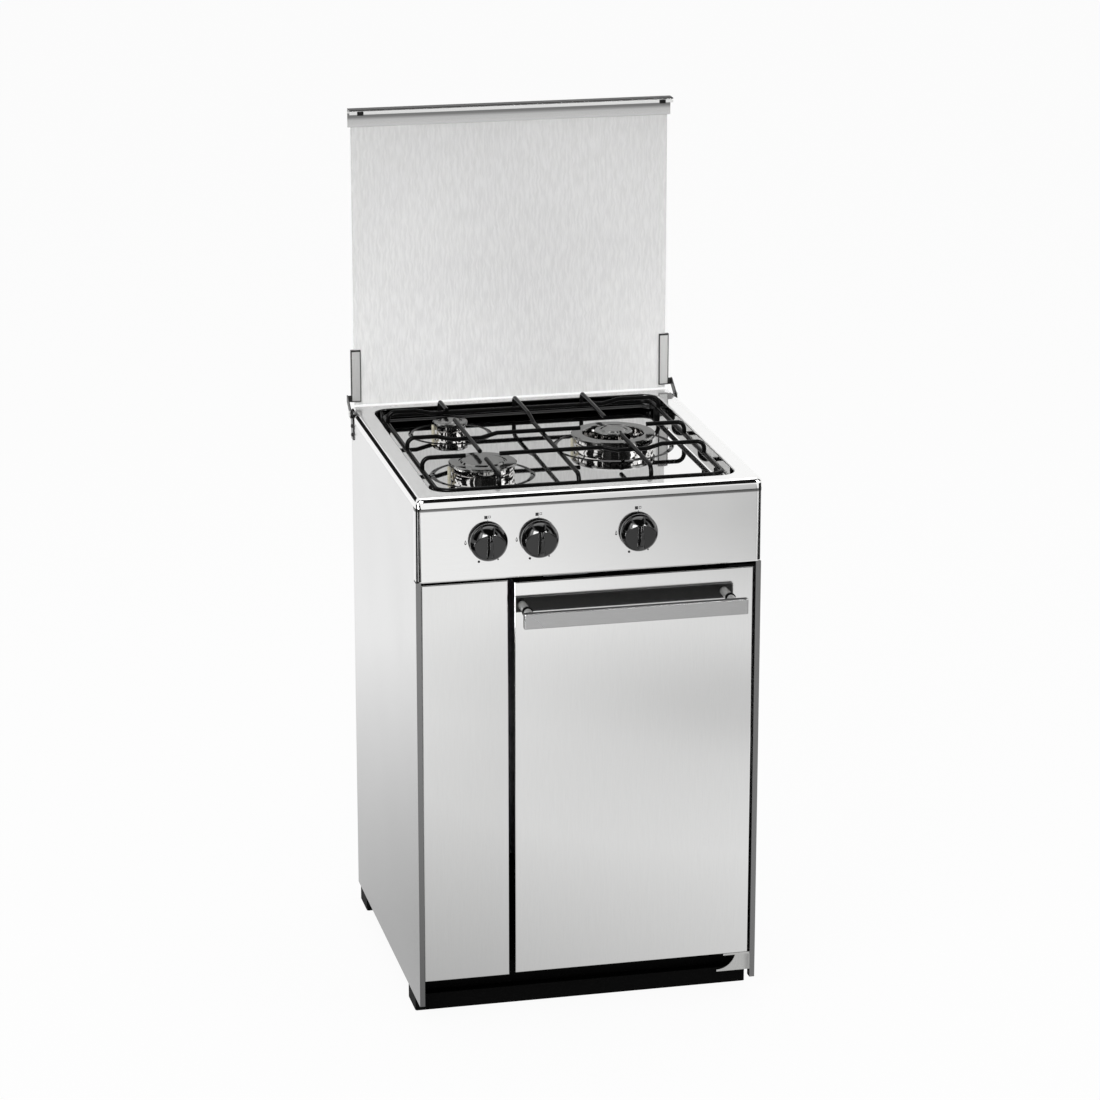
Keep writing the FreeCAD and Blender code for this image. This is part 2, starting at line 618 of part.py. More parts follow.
def pressed(name, at, dims, corner, edge_z, edge_radius):
    upright_soft = rounded(name + "_corners", box(name + "_block", at, dims),
                           lambda edge: corner if upright(edge) else 0)
    return rounded(name + "_soft", upright_soft, lambda edge: edge_radius if level(edge, edge_z) else 0)


HOB_DEPTH = "hob_front + side_depth + hob_rear"
rim = pressed("rim", ("-body_width / 2", behind("-hob_front"), TOP), ("body_width", HOB_DEPTH, "rim_height"),
              mm["hob_corner"], rim_z, mm["hob_edge"])
under = pressed("under", ("-body_width / 2 + steel", behind("steel - hob_front"), TOP),
                (INNER, HOB_DEPTH + " - 2 * steel", "rim_height - steel"),
                mm["hob_corner"] - mm["steel"], rim_z - mm["steel"], mm["hob_edge"] - mm["steel"])
skin = pressed("recess_skin",
               ("-body_width / 2 + rim_side - steel", behind("rim_front - hob_front - steel"),
                FLOOR + " - steel"),
               ("body_width - 2 * rim_side + 2 * steel", HOB_DEPTH + " - rim_front - rim_rear + 2 * steel",
                "recess_depth + steel / 2"),
               mm["recess_corner"] + mm["steel"], floor_z - mm["steel"], mm["recess_edge"] + mm["steel"])
recess = pressed("recess", ("-body_width / 2 + rim_side", behind("rim_front - hob_front"), FLOOR),
                 ("body_width - 2 * rim_side", HOB_DEPTH + " - rim_front - rim_rear", "recess_depth + steel"),
                 mm["recess_corner"], floor_z, mm["recess_edge"])
BURNERS = (("aux", "-left_burner", "aux_depth", "aux_radius", 20, "aux_ring"),
           ("rapid", "-left_burner", "rapid_depth", "rapid_radius", 36, "rapid_ring"),
           ("wok", "wok_burner", "wok_depth", "wok_radius", 44, "wok_ring"))
burner_holes = [rod(burner + "_hole", (x, behind(depth), FLOOR + " - steel"),
                    radius + " - neck_inset + fit", "steel")
                for burner, x, depth, radius, ports, ring in BURNERS]
hob_joined = fuse("hob_joined", [cut("rim_shell", rim, [under]), skin])
hob_sheet = cut("hob_sheet", hob_joined, [recess] + burner_holes)
beads = [turned(burner + "_bead", (x, behind(depth), FLOOR), [
    (burner + "_bead - bead_width", "0"), (burner + "_bead + bead_width", "0"),
    (burner + "_bead", "bead_height")])
    for burner, x, depth, radius, ports, ring in BURNERS]


def recess_top(edge):
    reach = edge.BoundBox
    inside = abs(reach.XMin) < recess_x + 0.1 and abs(reach.XMax) < recess_x + 0.1
    inside = inside and reach.YMin > recess_near - 0.1 and reach.YMax < recess_far + 0.1
    return mm["recess_lip"] if inside and level(edge, rim_z) else 0


node(fuse("hob_beaded", [rounded("hob_piece", hob_sheet, recess_top)] + beads), "hob_top")

# Burners: cup, crown with flame ports, cap
CUP_Z = FLOOR + " - cup_drop"
CROWN_Z = FLOOR + " + cup_flange"


def crown(name, at, radius, wall, height, ports):
    body = turned(name, at, [
        (radius + " - " + wall, "0"), (radius + " - crown_foot", "0"),
        (radius + " - crown_foot", "crown_step"), (radius, "crown_step + crown_foot"),
        (radius, height), (radius + " - " + wall, height)])
    low = height + " - port_height"
    sketch = outline(body, "YZ_Plane", [
        ("0", low), ("port_width", low), ("port_width", height), ("0", height)])
    doc.recompute()
    full = body.Shape.Volume
    port = body.newObject("PartDesign::Pocket", name + "_port")
    port.Profile = sketch
    bind(port, "Length", radius + " + crown_wall")
    body.Tip = port
    doc.recompute()
    single = full - body.Shape.Volume
    ring = body.newObject("PartDesign::PolarPattern", name + "_ports")
    ring.Originals = [port]
    ring.Axis = ([item for item in body.Origin.OriginFeatures if item.Role == "Z_Axis"][0], [""])
    ring.Angle = 360
    ring.Occurrences = ports
    body.Tip = ring
    doc.recompute()
    if single <= 0 or abs(full - body.Shape.Volume - ports * single) > 0.05 * ports * single:
        raise RuntimeError(name + " has lost flame ports")
    return body


def cap(name, at, radius, ring):
    edge = "(" + radius + " + cap_lip)"
    inner = edge + " - " + ring
    return turned(name, at, [
        ("0", "0"), (edge, "0"), (edge, "cap_thick - cap_bevel"), (edge + " - cap_bevel", "cap_thick"),
        (inner, "cap_thick"), (inner, "cap_thick - cap_groove"),
        (inner + " - groove_width", "cap_thick - cap_groove"),
        (inner + " - 2 * groove_width", "cap_thick + cap_dome"), ("0", "cap_thick + cap_dome")])


injectors = []
probes = []
for burner, x, depth, radius, ports, ring in BURNERS:
    spot = (x, behind(depth))
    cup = turned(burner + "_cup_body", spot + (CUP_Z,), [
        ("0", "0"), ("holder_radius", "0"), ("holder_radius", "holder_height"),
        (radius + " - neck_inset", "cup_drop - neck_height"), (radius + " - neck_inset", "cup_drop"),
        (radius, "cup_drop"), (radius, "cup_drop + cup_flange"),
        ("cup_bore", "cup_drop + cup_flange"), ("cup_bore", "holder_height / 2"), ("0", "holder_height / 2")])
    node(cup, burner + "_burner_cup")
    injectors.append(turned(burner + "_injector", spot + (CUP_Z + " + holder_height / 2",), [
        ("0", "0"), ("injector_radius", "0"), ("injector_radius", "injector_hex"),
        ("injector_radius / 2", "injector_height"), ("0", "injector_height")]))
    probe_x = x + " - " + radius + " - probe_gap - probe_radius"
    probes.append(rod(burner + "_probe", (probe_x, behind(depth), FLOOR), "probe_radius", "probe_height"))
    wall = "wok_wall" if burner == "wok" else "crown_wall"
    outer = "wok_outer" if burner == "wok" else burner + "_burner"
    node(crown(outer + "_ring", spot + (CROWN_Z,), radius, wall, "crown_height", ports), outer + "_crown")
    cap_spot = spot + (CROWN_Z + " + crown_height",)
    if burner != "wok":
        node(cap(burner + "_lid", cap_spot, radius, ring), outer + "_cap")
        continue
    rim_r = "(wok_radius + cap_lip)"
    node(turned("wok_ring_cap", cap_spot, [
        (rim_r + " - wok_ring", "0"), (rim_r, "0"), (rim_r, "cap_thick - cap_bevel"),
        (rim_r + " - cap_bevel", "cap_thick"), (rim_r + " - wok_ring + cap_bevel", "cap_thick"),
        (rim_r + " - wok_ring", "cap_thick - cap_bevel")]), "wok_outer_cap")
    core = crown("wok_core_ring", spot + (CROWN_Z,), "wok_core", "crown_wall", "crown_height + core_rise", 18)
    bridges = []
    for number in range(4):
        bridge = box("wok_bridge_%d" % number, spot + (CROWN_Z,),
                     ("sqrt((wok_radius - wok_wall - fit) ^ 2 - bridge_width ^ 2)", "bridge_width",
                      "bridge_height"))
        bridge.Placement.Rotation = Rotation(Vector(0, 0, 1), 12 + 90 * number)
        bridges.append(bridge)
    middle = rod("wok_core_gap", spot + (CROWN_Z,), "wok_core - crown_wall / 2", "bridge_height")
    spokes = cut("wok_spokes", fuse("wok_bridges", bridges), [middle])
    node(fuse("wok_core_piece", [core, spokes]), "wok_inner_crown")
    node(cap("wok_core_lid", spot + (CROWN_Z + " + crown_height + core_rise",), "wok_core", "core_ring"),
         "wok_inner_cap")
node(group("injector_set", injectors), "injectors")
node(group("probe_set", probes), "flame_probes")

# Pan support: bent wire welded at the crossings
side_x = recess_x - mm["support_side"]
near_u = mm["rim_front"] - mm["hob_front"] + mm["support_front"]
far_u = mm["side_depth"] + mm["hob_rear"] - mm["rim_rear"] - mm["support_rear"]
wire = mm["support_wire"]
ring_z = floor_z + mm["support_foot"] + wire
high = ring_z + mm["finger_rise"]
finger = mm["finger_wire"]
low = high - 2 * finger + mm["weld_bite"]
left_x = -mm["left_burner"]
right_x = mm["wok_burner"]
middle_x = -mm["middle_wire"]
reach = mm["wok_reach"]
short = mm["rapid_reach"]
wok_u = mm["wok_depth"]
rapid_u = mm["rapid_depth"]
aux_u = mm["aux_depth"]
back_u = aux_u + mm["back_wire"]


def dip(x, u):
    steps = ((-mm["dip_out"], high), (-mm["dip_in"], low), (mm["dip_in"], low), (mm["dip_out"], high))
    return [(x + step, u, z) for step, z in steps]


WIRES = [
    [(left_x, far_u, ring_z), (left_x, far_u, high), (left_x, back_u - mm["stub_end"], high)],
    [(left_x, aux_u - mm["bar_rear"], high), (left_x, rapid_u + mm["bar_front"], high)],
    [(middle_x, far_u, ring_z), (middle_x, far_u, high), (middle_x, back_u - mm["slope_start"], high),
     (middle_x, back_u - mm["slope_end"], low), (middle_x, near_u, low), (middle_x, near_u, ring_z)],
    [(right_x, far_u, ring_z), (right_x, far_u, high), (right_x, wok_u + reach, high)],
    [(right_x, near_u, ring_z), (right_x, near_u, high), (right_x, wok_u - reach, high)],
    [(left_x, near_u, ring_z), (left_x, near_u, high), (left_x, rapid_u - short, high)],
    [(-side_x, back_u, ring_z), (-side_x, back_u, high)] + dip(left_x, back_u)[:2]
    + dip(right_x, back_u)[2:] + [(side_x, back_u, high), (side_x, back_u, ring_z)],
    [(-side_x, wok_u, ring_z), (-side_x, wok_u, high)] + dip(left_x, wok_u)
    + [(right_x - reach, wok_u, high)],
    [(side_x, wok_u, ring_z), (side_x, wok_u, high), (right_x + reach, wok_u, high)],
    [(-side_x, rapid_u, ring_z), (-side_x, rapid_u, high), (left_x - short, rapid_u, high)],
    [(left_x + short, rapid_u, high)] + dip(right_x, rapid_u)
    + [(side_x, rapid_u, high), (side_x, rapid_u, ring_z)],
]


def from_front(points):
    return [(x, front_y + u, z) for x, u, z in points]


halves = [tube(from_front([(0, near_u, ring_z), (sign * side_x, near_u, ring_z),
                           (sign * side_x, far_u, ring_z), (0, far_u, ring_z)]), mm["ring_bend"], wire)
          for sign in (-1, 1)]
fingers = [tube(from_front(points), mm["wire_bend"], finger) for points in WIRES]
support = halves[0].fuse([halves[1]] + fingers).removeSplitter()
node(solid("support_wires", support.Solids[0] if len(support.Solids) == 1 else support), "pan_support")
pads = [rod("pad_%d_%d" % (sign, u), (str(sign * side_x), behind(str(u)), FLOOR), "support_pad",
            "support_foot") for sign in (-1, 1) for u in (near_u + mm["pad_inset"], far_u - mm["pad_inset"])]
node(group("pad_set", pads), "support_feet")

# Taps, spindles, knobs and gas pipes
TAP_FRONT = "steel - panel_proud"
BALL = "(knob_radius ^ 2 + (knob_height - knob_skirt) ^ 2) / (2 * (knob_height - knob_skirt))"
GRIP_LENGTH = "knob_radius + hollow_radius - hollow_drop + grip_top"
PLUG_FRONT = TAP_FRONT + " + plug_set"
axis_z = top_z - mm["hob_gap"] - mm["knob_drop"]
tap_back = mm["steel"] - mm["panel_proud"] + mm["tap_length"]
pipe_ends = {"rapid": (left_x - mm["holder_radius"], rapid_u), "aux": (left_x + mm["holder_radius"], aux_u),
             "wok": (right_x - mm["holder_radius"], wok_u)}
knob_x = {"rapid": -mm["knob_left"], "aux": -mm["knob_middle"], "wok": mm["knob_right"]}
for burner, x in KNOBS:
    tap = box(burner + "_tap_block", (x + " - tap_width / 2", behind(TAP_FRONT), AXIS + " - tap_drop"),
              ("tap_width", "tap_length", "tap_drop + tap_rise"))
    tap = rounded(burner + "_tap_soft", tap, lambda edge: mm["foot_round"] if upright(edge) else 0)
    chamber = rod(burner + "_chamber", (x, behind(PLUG_FRONT + " - fit"), AXIS), "plug_radius + running",
                  "plug_length + 2 * fit", "back")
    throat = rod(burner + "_throat", (x, behind(TAP_FRONT), AXIS), "spindle_radius + spindle_clear",
                 "plug_set", "back")
    node(cut(burner + "_tap_body", tap, [chamber, throat]), burner + "_tap")
    node(turned(burner + "_plug_body", (x, behind(PLUG_FRONT), AXIS), [
        ("spindle_radius + running", "0"), ("plug_radius", "0"), ("plug_radius", "plug_length"),
        ("0", "plug_length"), ("0", "spindle_slot + knob_travel + slot_end"),
        ("spindle_radius + running", "spindle_slot + knob_travel + slot_end")], "back"), burner + "_tap_plug")
    node(rod(burner + "_shaft", (x, behind("-(" + KNOB_BACK + ") - spindle_hold"), AXIS), "spindle_radius",
             KNOB_BACK + " + spindle_hold + " + PLUG_FRONT + " + spindle_slot", "back"), burner + "_spindle")
    ball = doc.addObject("Part::Sphere", burner + "_ball")
    bind(ball, "Radius", BALL)
    place(ball, (x, behind("-(" + KNOB_BACK + ") - knob_height + " + BALL), AXIS))
    dome = doc.addObject("Part::Common", burner + "_dome")
    dome.Base = ball
    dome.Tool = rod(burner + "_barrel", (x, behind("-(" + KNOB_BACK + ")"), AXIS), "knob_radius",
                    "knob_height", "front")
    grip = plate(burner + "_grip", (x + " - grip_foot / 2", behind("-(" + KNOB_BACK + ") - knob_height"),
                                    AXIS + " - knob_radius"), "XZ_Plane", [
        ("0", "0"), ("grip_foot", "0"), ("(grip_foot + grip_top) / 2", GRIP_LENGTH),
        ("(grip_foot - grip_top) / 2", GRIP_LENGTH)], "knob_height - knob_floor")
    hollows = cut(burner + "_hollows", rod(
        burner + "_hollow", (x, behind("-(" + KNOB_BACK + ") - knob_floor"), AXIS + " - hollow_drop"),
        "hollow_radius", "knob_height - knob_floor", "front"), [grip])
    bore = rod(burner + "_knob_bore", (x, behind("-(" + KNOB_BACK + ")"), AXIS), "spindle_radius",
               "spindle_hold", "front")
    node(cut(burner + "_knob_body", dome, [hollows, bore]), burner + "_knob")
    end_x, end_u = pipe_ends[burner]
    run = [(knob_x[burner], tap_back, axis_z), (knob_x[burner], end_u, axis_z), (end_x, end_u, axis_z)]
    pipe = tube(from_front(run), mm["pipe_bend"], mm["pipe_radius"])
    node(solid(burner + "_gas_run", pipe), burner + "_pipe")

rail_z = axis_z - mm["tap_drop"] - mm["rail_radius"]
rail_x = mm["rail_side"] - mm["body_width"] / 2
rail_u = mm["steel"] - mm["panel_proud"] + mm["tap_length"] / 2
rail_far = mm["side_depth"] - mm["foot_back"] - mm["base_set"] + mm["steel"]
rail_run = [(mm["knob_right"] + mm["rail_end"], rail_u, rail_z), (rail_x, rail_u, rail_z),
            (rail_x, rail_far, rail_z)]
node(solid("rail_run", tube(from_front(rail_run), mm["rail_bend"], mm["rail_radius"])), "gas_rail")
node(turned("inlet_body", ("-body_width / 2 + rail_side", behind(BACK_FACE + " + steel"), RAIL_Z), [
    ("0", "0"), ("nut_radius", "0"), ("nut_radius", "nut_length"), ("nozzle_radius", "nut_length"),
    ("nozzle_radius", "nut_length + nozzle_length"), ("0", "nut_length + nozzle_length")], "back"),
     "gas_inlet")

# Lid
LID_BACK = PIVOT_Y + " + lid_offset"
LID_SIDE = "body_width / 2 - lid_inset"
LID_TOP = PIVOT_Z + " + lid_top"
node(box("lid_plate", ("lid_inset - body_width / 2", behind(LID_BACK), RIM + " + lid_gap"),
         ("body_width - 2 * lid_inset", "steel", "lid_top - steel - pivot_drop - lid_gap")), "lid_sheet")
lip = plate("lip_profile", ("lid_inset - body_width / 2 - lip_over", behind(LID_BACK + " - lip_depth"),
                            LID_TOP + " - lip_band"), "YZ_Plane", [
    ("0", "lip_band - lip_flange"), ("steel", "lip_band - lip_flange"), ("steel", "lip_band - steel"),
    ("lip_depth - steel", "lip_band - steel"), ("lip_depth - steel", "0"), ("lip_depth", "0"),
    ("lip_depth", "lip_band - steel"), ("lip_depth + steel", "lip_band - steel"),
    ("lip_depth + steel", "lip_band"), ("0", "lip_band")], "body_width - 2 * lid_inset + 2 * lip_over")
lid_z = rim_z - mm["pivot_drop"] + mm["lid_top"]
lip_y = front_y + mm["side_depth"] - mm["pivot_inset"] + mm["lid_offset"] - mm["lip_depth"]
node(rounded("lip_soft", lip, lambda edge: mm["lip_edge"] if (
    level(edge, lid_z) and abs(edge.BoundBox.YMax - lip_y) < 0.01) else 0), "lid_lip")
BUMPER = "lid_offset - lip_depth - pivot_drop - fit"
bumpers = [box("bumper_" + side, (x, behind(LID_BACK + " - lip_depth - (" + BUMPER + ")"),
                                  LID_TOP + " - lip_edge - bumper_height + fit"),
               ("bumper_width", BUMPER, "bumper_height - 2 * fit"))
           for side, x in (("left", "lid_inset - body_width / 2 - lip_over + bumper_inset"),
                           ("right", LID_SIDE + " + lip_over - bumper_inset - bumper_width"))]
node(group("bumper_pair", bumpers), "lid_bumpers")

ARM_IN = "arm_plate + fit"
for side in ("left", "right"):
    def out(inner, width):
        if side == "left":
            return "-body_width / 2 - (" + inner + ") - (" + width + ")"
        return "body_width / 2 + " + inner

    away = "left" if side == "left" else "right"
    face = "-body_width / 2" if side == "left" else "body_width / 2"
    past = " - " if side == "left" else " + "
    clip_x = LID_SIDE + " + clip_over - clip_width"
    slot_x = LID_SIDE + " - clip_width + clip_over"
    if side == "left":
        clip_x = "lid_inset - body_width / 2 - clip_over"
        slot_x = "lid_inset - body_width / 2"
    clip_y = behind(LID_BACK + " - clip_wall")
    clip_z = PIVOT_Z + " + clip_rise"
    channel = cut(side + "_channel", box(side + "_channel_block", (clip_x, clip_y, clip_z),
                                         ("clip_width", "2 * clip_wall + steel", "clip_height")),
                  [box(side + "_channel_slot", (slot_x, behind(LID_BACK), clip_z),
                       ("clip_width - clip_over", "steel", "clip_height"))])
    eye_spot = (face + past + "(" + ARM_IN + ")", behind(PIVOT_Y), PIVOT_Z)
    eye = rod(side + "_eye", eye_spot, "arm_eye", "arm_plate", away)
    leg = plate(side + "_leg", (out(ARM_IN, "arm_plate"), behind(PIVOT_Y + " - arm_eye"),
                                PIVOT_Z + " - arm_eye"), "YZ_Plane", [
        ("arm_eye", "0"), ("arm_eye + lid_offset + steel + clip_wall", "arm_eye + clip_rise"),
        ("arm_eye + lid_offset + steel + clip_wall", "arm_eye + clip_rise + arm_leg"),
        ("arm_eye + lid_offset - clip_wall", "arm_eye + clip_rise + arm_leg"), ("arm_eye / 2", "arm_knee")],
        "arm_plate")
    tab_x = clip_x if side == "right" else out(ARM_IN, "arm_plate")
    tab = box(side + "_tab", (tab_x, clip_y, clip_z + " + fit"),
              ("lid_inset - clip_over + clip_wall + 2 * arm_plate + fit", "clip_wall", "arm_leg - fit"))
    if side == "right":
        bind(tab, "Placement.Base.x", LID_SIDE + " + clip_over - clip_wall")
    hole = rod(side + "_eye_hole", eye_spot, "lid_pin + running", "arm_plate", away)
    clip = fuse(side + "_clip_solid", [channel, eye, leg, tab])
    node(cut(side + "_clip_piece", clip, [hole]), side + "_lid_clip")
    boss = rod(side + "_boss", (face, behind(PIVOT_Y), PIVOT_Z), "arm_eye", "arm_plate", away)
    arm = plate(side + "_hinge_leg", (out("0", "arm_plate"), behind(PIVOT_Y + " - hinge_tail"),
                                      PIVOT_Z + " - hinge_drop"), "YZ_Plane", [
        ("0", "0"), ("hinge_foot", "0"), ("hinge_tail + arm_eye", "hinge_drop - arm_eye"),
        ("hinge_tail + arm_eye", "hinge_drop"), ("hinge_tail - arm_eye", "hinge_drop"),
        ("0", "hinge_drop / 2")], "arm_plate")
    seat = rod(side + "_pin_seat", (face, behind(PIVOT_Y), PIVOT_Z), "lid_pin", "arm_plate", away)
    hinge = fuse(side + "_hinge_solid", [boss, arm])
    node(cut(side + "_hinge_piece", hinge, [seat]), side + "_hinge_bracket")
pins = []
for side, face, past in (("left", "-body_width / 2", " - "), ("right", "body_width / 2", " + ")):
    shank = rod(side + "_shank", (face, behind(PIVOT_Y), PIVOT_Z), "lid_pin", "2 * arm_plate + 2 * fit", side)
    head = rod(side + "_head", (face + past + "(2 * arm_plate + 2 * fit)", behind(PIVOT_Y), PIVOT_Z),
               "pin_head", "arm_plate", side)
    pins.append(fuse(side + "_rivet", [shank, head]))
node(group("pin_pair", pins), "lid_pins")

# Check and export
doc.recompute()
for thing in doc.Objects:
    if "Invalid" in thing.State or "Error" in thing.State:
        raise RuntimeError(thing.Name + " has a bad state")
os.makedirs("parts", exist_ok=True)
for thing in nodes:
    if thing.Shape.isNull() or not thing.Shape.isValid():
        raise RuntimeError(thing.Label + " has no valid shape")
    thing.Shape.exportStep("parts/" + thing.Label + ".step")
print("pieces", len(nodes))
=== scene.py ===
import bpy
import bmesh
import json
import math
from mathutils import Matrix, Vector


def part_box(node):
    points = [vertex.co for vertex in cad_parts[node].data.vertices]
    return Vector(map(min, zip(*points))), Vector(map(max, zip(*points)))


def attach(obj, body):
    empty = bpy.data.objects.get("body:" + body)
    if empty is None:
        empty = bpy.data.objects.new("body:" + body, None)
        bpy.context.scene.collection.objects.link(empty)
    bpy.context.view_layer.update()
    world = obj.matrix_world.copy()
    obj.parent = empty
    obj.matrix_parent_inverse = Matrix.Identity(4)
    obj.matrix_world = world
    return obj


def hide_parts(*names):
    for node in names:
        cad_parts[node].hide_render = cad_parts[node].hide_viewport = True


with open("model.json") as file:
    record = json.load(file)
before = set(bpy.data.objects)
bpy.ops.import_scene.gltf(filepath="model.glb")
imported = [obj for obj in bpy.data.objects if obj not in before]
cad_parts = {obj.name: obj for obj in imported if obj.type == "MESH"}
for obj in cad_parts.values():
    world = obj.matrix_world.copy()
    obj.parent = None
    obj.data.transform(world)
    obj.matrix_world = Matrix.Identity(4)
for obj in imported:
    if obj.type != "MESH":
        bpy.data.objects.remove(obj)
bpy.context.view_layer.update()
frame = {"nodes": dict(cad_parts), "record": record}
nodes = frame["nodes"]
burners = ("rapid", "aux", "wok")
print("frame loaded:", len(nodes), "nodes")


# Shader helpers: every pattern reads Object coordinates, so it stays put on its piece

noiseRange = (0.3, 0.7)  # most of a noise lies between these


def newFinish(name):
    finish = bpy.data.materials.new(name)
    finish.use_nodes = True
    return finish, finish.node_tree, finish.node_tree.nodes["Principled BSDF"]


# Another node's output is linked, a plain value is set
def put(tree, value, socket):
    if isinstance(value, bpy.types.NodeSocket):
        tree.links.new(value, socket)
    else:
        socket.default_value = value


def pointOn(tree, stretch=(1, 1, 1)):
    place = tree.nodes.new("ShaderNodeTexCoord")
    mapping = tree.nodes.new("ShaderNodeMapping")
    mapping.inputs["Scale"].default_value = stretch
    tree.links.new(place.outputs["Object"], mapping.inputs["Vector"])
    return mapping.outputs["Vector"]


# X, Y and Z of a place ("Object") or of the way a face looks ("Normal")
def axes(tree, source):
    place = tree.nodes.new("ShaderNodeTexCoord")
    split = tree.nodes.new("ShaderNodeSeparateXYZ")
    tree.links.new(place.outputs[source], split.inputs["Vector"])
    return split.outputs


def noise(tree, point, scale, detail):
    cloud = tree.nodes.new("ShaderNodeTexNoise")
    cloud.inputs["Scale"].default_value = scale
    cloud.inputs["Detail"].default_value = detail
    tree.links.new(point, cloud.inputs["Vector"])
    return cloud.outputs["Fac"]


def ramp(tree, value, stops):
    colours = tree.nodes.new("ShaderNodeValToRGB")
    for number, (at, colour) in enumerate(stops):
        stop = colours.color_ramp.elements[number] if number < 2 else colours.color_ramp.elements.new(at)
        stop.position = at
        stop.color = (*colour, 1)
    tree.links.new(value, colours.inputs["Fac"])
    return colours.outputs["Color"]


def twoTones(tree, value, dark, light, ends=noiseRange):
    return ramp(tree, value, [(ends[0], dark), (ends[1], light)])


def span(tree, value, low, high, fromLow=noiseRange[0], fromHigh=noiseRange[1]):
    spread = tree.nodes.new("ShaderNodeMapRange")
    for socket, number in (("From Min", fromLow), ("From Max", fromHigh), ("To Min", low), ("To Max", high)):
        put(tree, number, spread.inputs[socket])
    tree.links.new(value, spread.inputs["Value"])
    return spread.outputs["Result"]


def bump(tree, shader, height, strength, depth):
    relief = tree.nodes.new("ShaderNodeBump")
    relief.inputs["Strength"].default_value = strength
    relief.inputs["Distance"].default_value = depth
    tree.links.new(height, relief.inputs["Height"])
    tree.links.new(relief.outputs["Normal"], shader.inputs["Normal"])


def maths(tree, operation, *values):
    step = tree.nodes.new("ShaderNodeMath")
    step.operation = operation
    for value, socket in zip(values, step.inputs):
        put(tree, value, socket)
    return step.outputs["Value"]


def vectors(tree, operation, first, second):
    step = tree.nodes.new("ShaderNodeVectorMath")
    step.operation = operation
    put(tree, first, step.inputs[0])
    put(tree, second, step.inputs["Scale" if operation == "SCALE" else 1])
    return step.outputs["Value" if operation == "DISTANCE" else "Vector"]


def scaled(tree, colour, amount):
    return vectors(tree, "SCALE", colour, amount)


def product(tree, values):
    result = values[0]
    for value in values[1:]:
        result = maths(tree, "MULTIPLY", result, value)
    return result


# A value that changes with the way a face looks along its piece's own axes
def turned(tree, axis, low, high, fromLow, fromHigh):
    return span(tree, axes(tree, "Normal")[axis], low, high, fromLow, fromHigh)


# A grey that follows the height on the stove; on the control panel, the lid lip and the lid sheet it is
# painted shade
def bands(tree, stops):
    low = stops[0][0]
    high = stops[-1][0]
    height = span(tree, axes(tree, "Object")["Z"], 0.0, 1.0, low, high)
    return ramp(tree, height, [((z - low) / (high - low), (grey, grey, grey)) for z, grey in stops])


# Nearly black past the edges of an upright face, the same on the left and the right of the stove
def border(tree, edges):
    at = axes(tree, "Object")
    blur = edges["blur"]
    sides = []
    for source, (low, high) in ((maths(tree, "ABSOLUTE", at["X"]), edges["x"]), (at["Z"], edges["z"])):
        sides.append(span(tree, source, edges["dark"], 1.0, low - blur, low + blur))
        sides.append(span(tree, source, 1.0, edges["dark"], high - blur, high + blur))
    return product(tree, sides)


# Dark where a value is close to a middle, and 1 away from it
def closeTo(tree, value, middle, half, dark, core=0.6):
    off = maths(tree, "ABSOLUTE", maths(tree, "SUBTRACT", value, middle))
    return span(tree, off, dark, 1.0, half * core, half)


# Painted dark reflections along the pressed beads round the burners
paintedReflectionLines = {"aux": 0.059, "rapid": 0.072, "wok": 0.086, "half": 0.0045, "dark": 0.04,
             "wallFacing": (-0.3, -0.15), "wallBehind": (0.0, 0.05)}


def paintedBeadReflections(tree):
    flat = vectors(tree, "MULTIPLY", pointOn(tree), (1, 1, 0))
    lines = []
    for burner in burners:
        low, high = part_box(burner + "_burner_cup")
        away = vectors(tree, "DISTANCE", flat, ((low.x + high.x) / 2, (low.y + high.y) / 2, 0))
        lines.append(closeTo(tree, away, paintedReflectionLines[burner], paintedReflectionLines["half"], paintedReflectionLines["dark"]))
    return product(tree, lines)


# Painted dark reflection on the faces behind the middle of the hob that look to the front
def paintedBackWallReflection(tree):
    facing = turned(tree, "Y", paintedReflectionLines["dark"], 1.0, *paintedReflectionLines["wallFacing"])
    behind = span(tree, axes(tree, "Object")["Y"], 1.0, paintedReflectionLines["dark"], *paintedReflectionLines["wallBehind"])
    return maths(tree, "MAXIMUM", facing, behind)


def shade(colour, amount):
    return tuple(part * amount for part in colour)


clipLow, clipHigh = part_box("right_lid_clip")
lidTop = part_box("lid_lip")[1].z

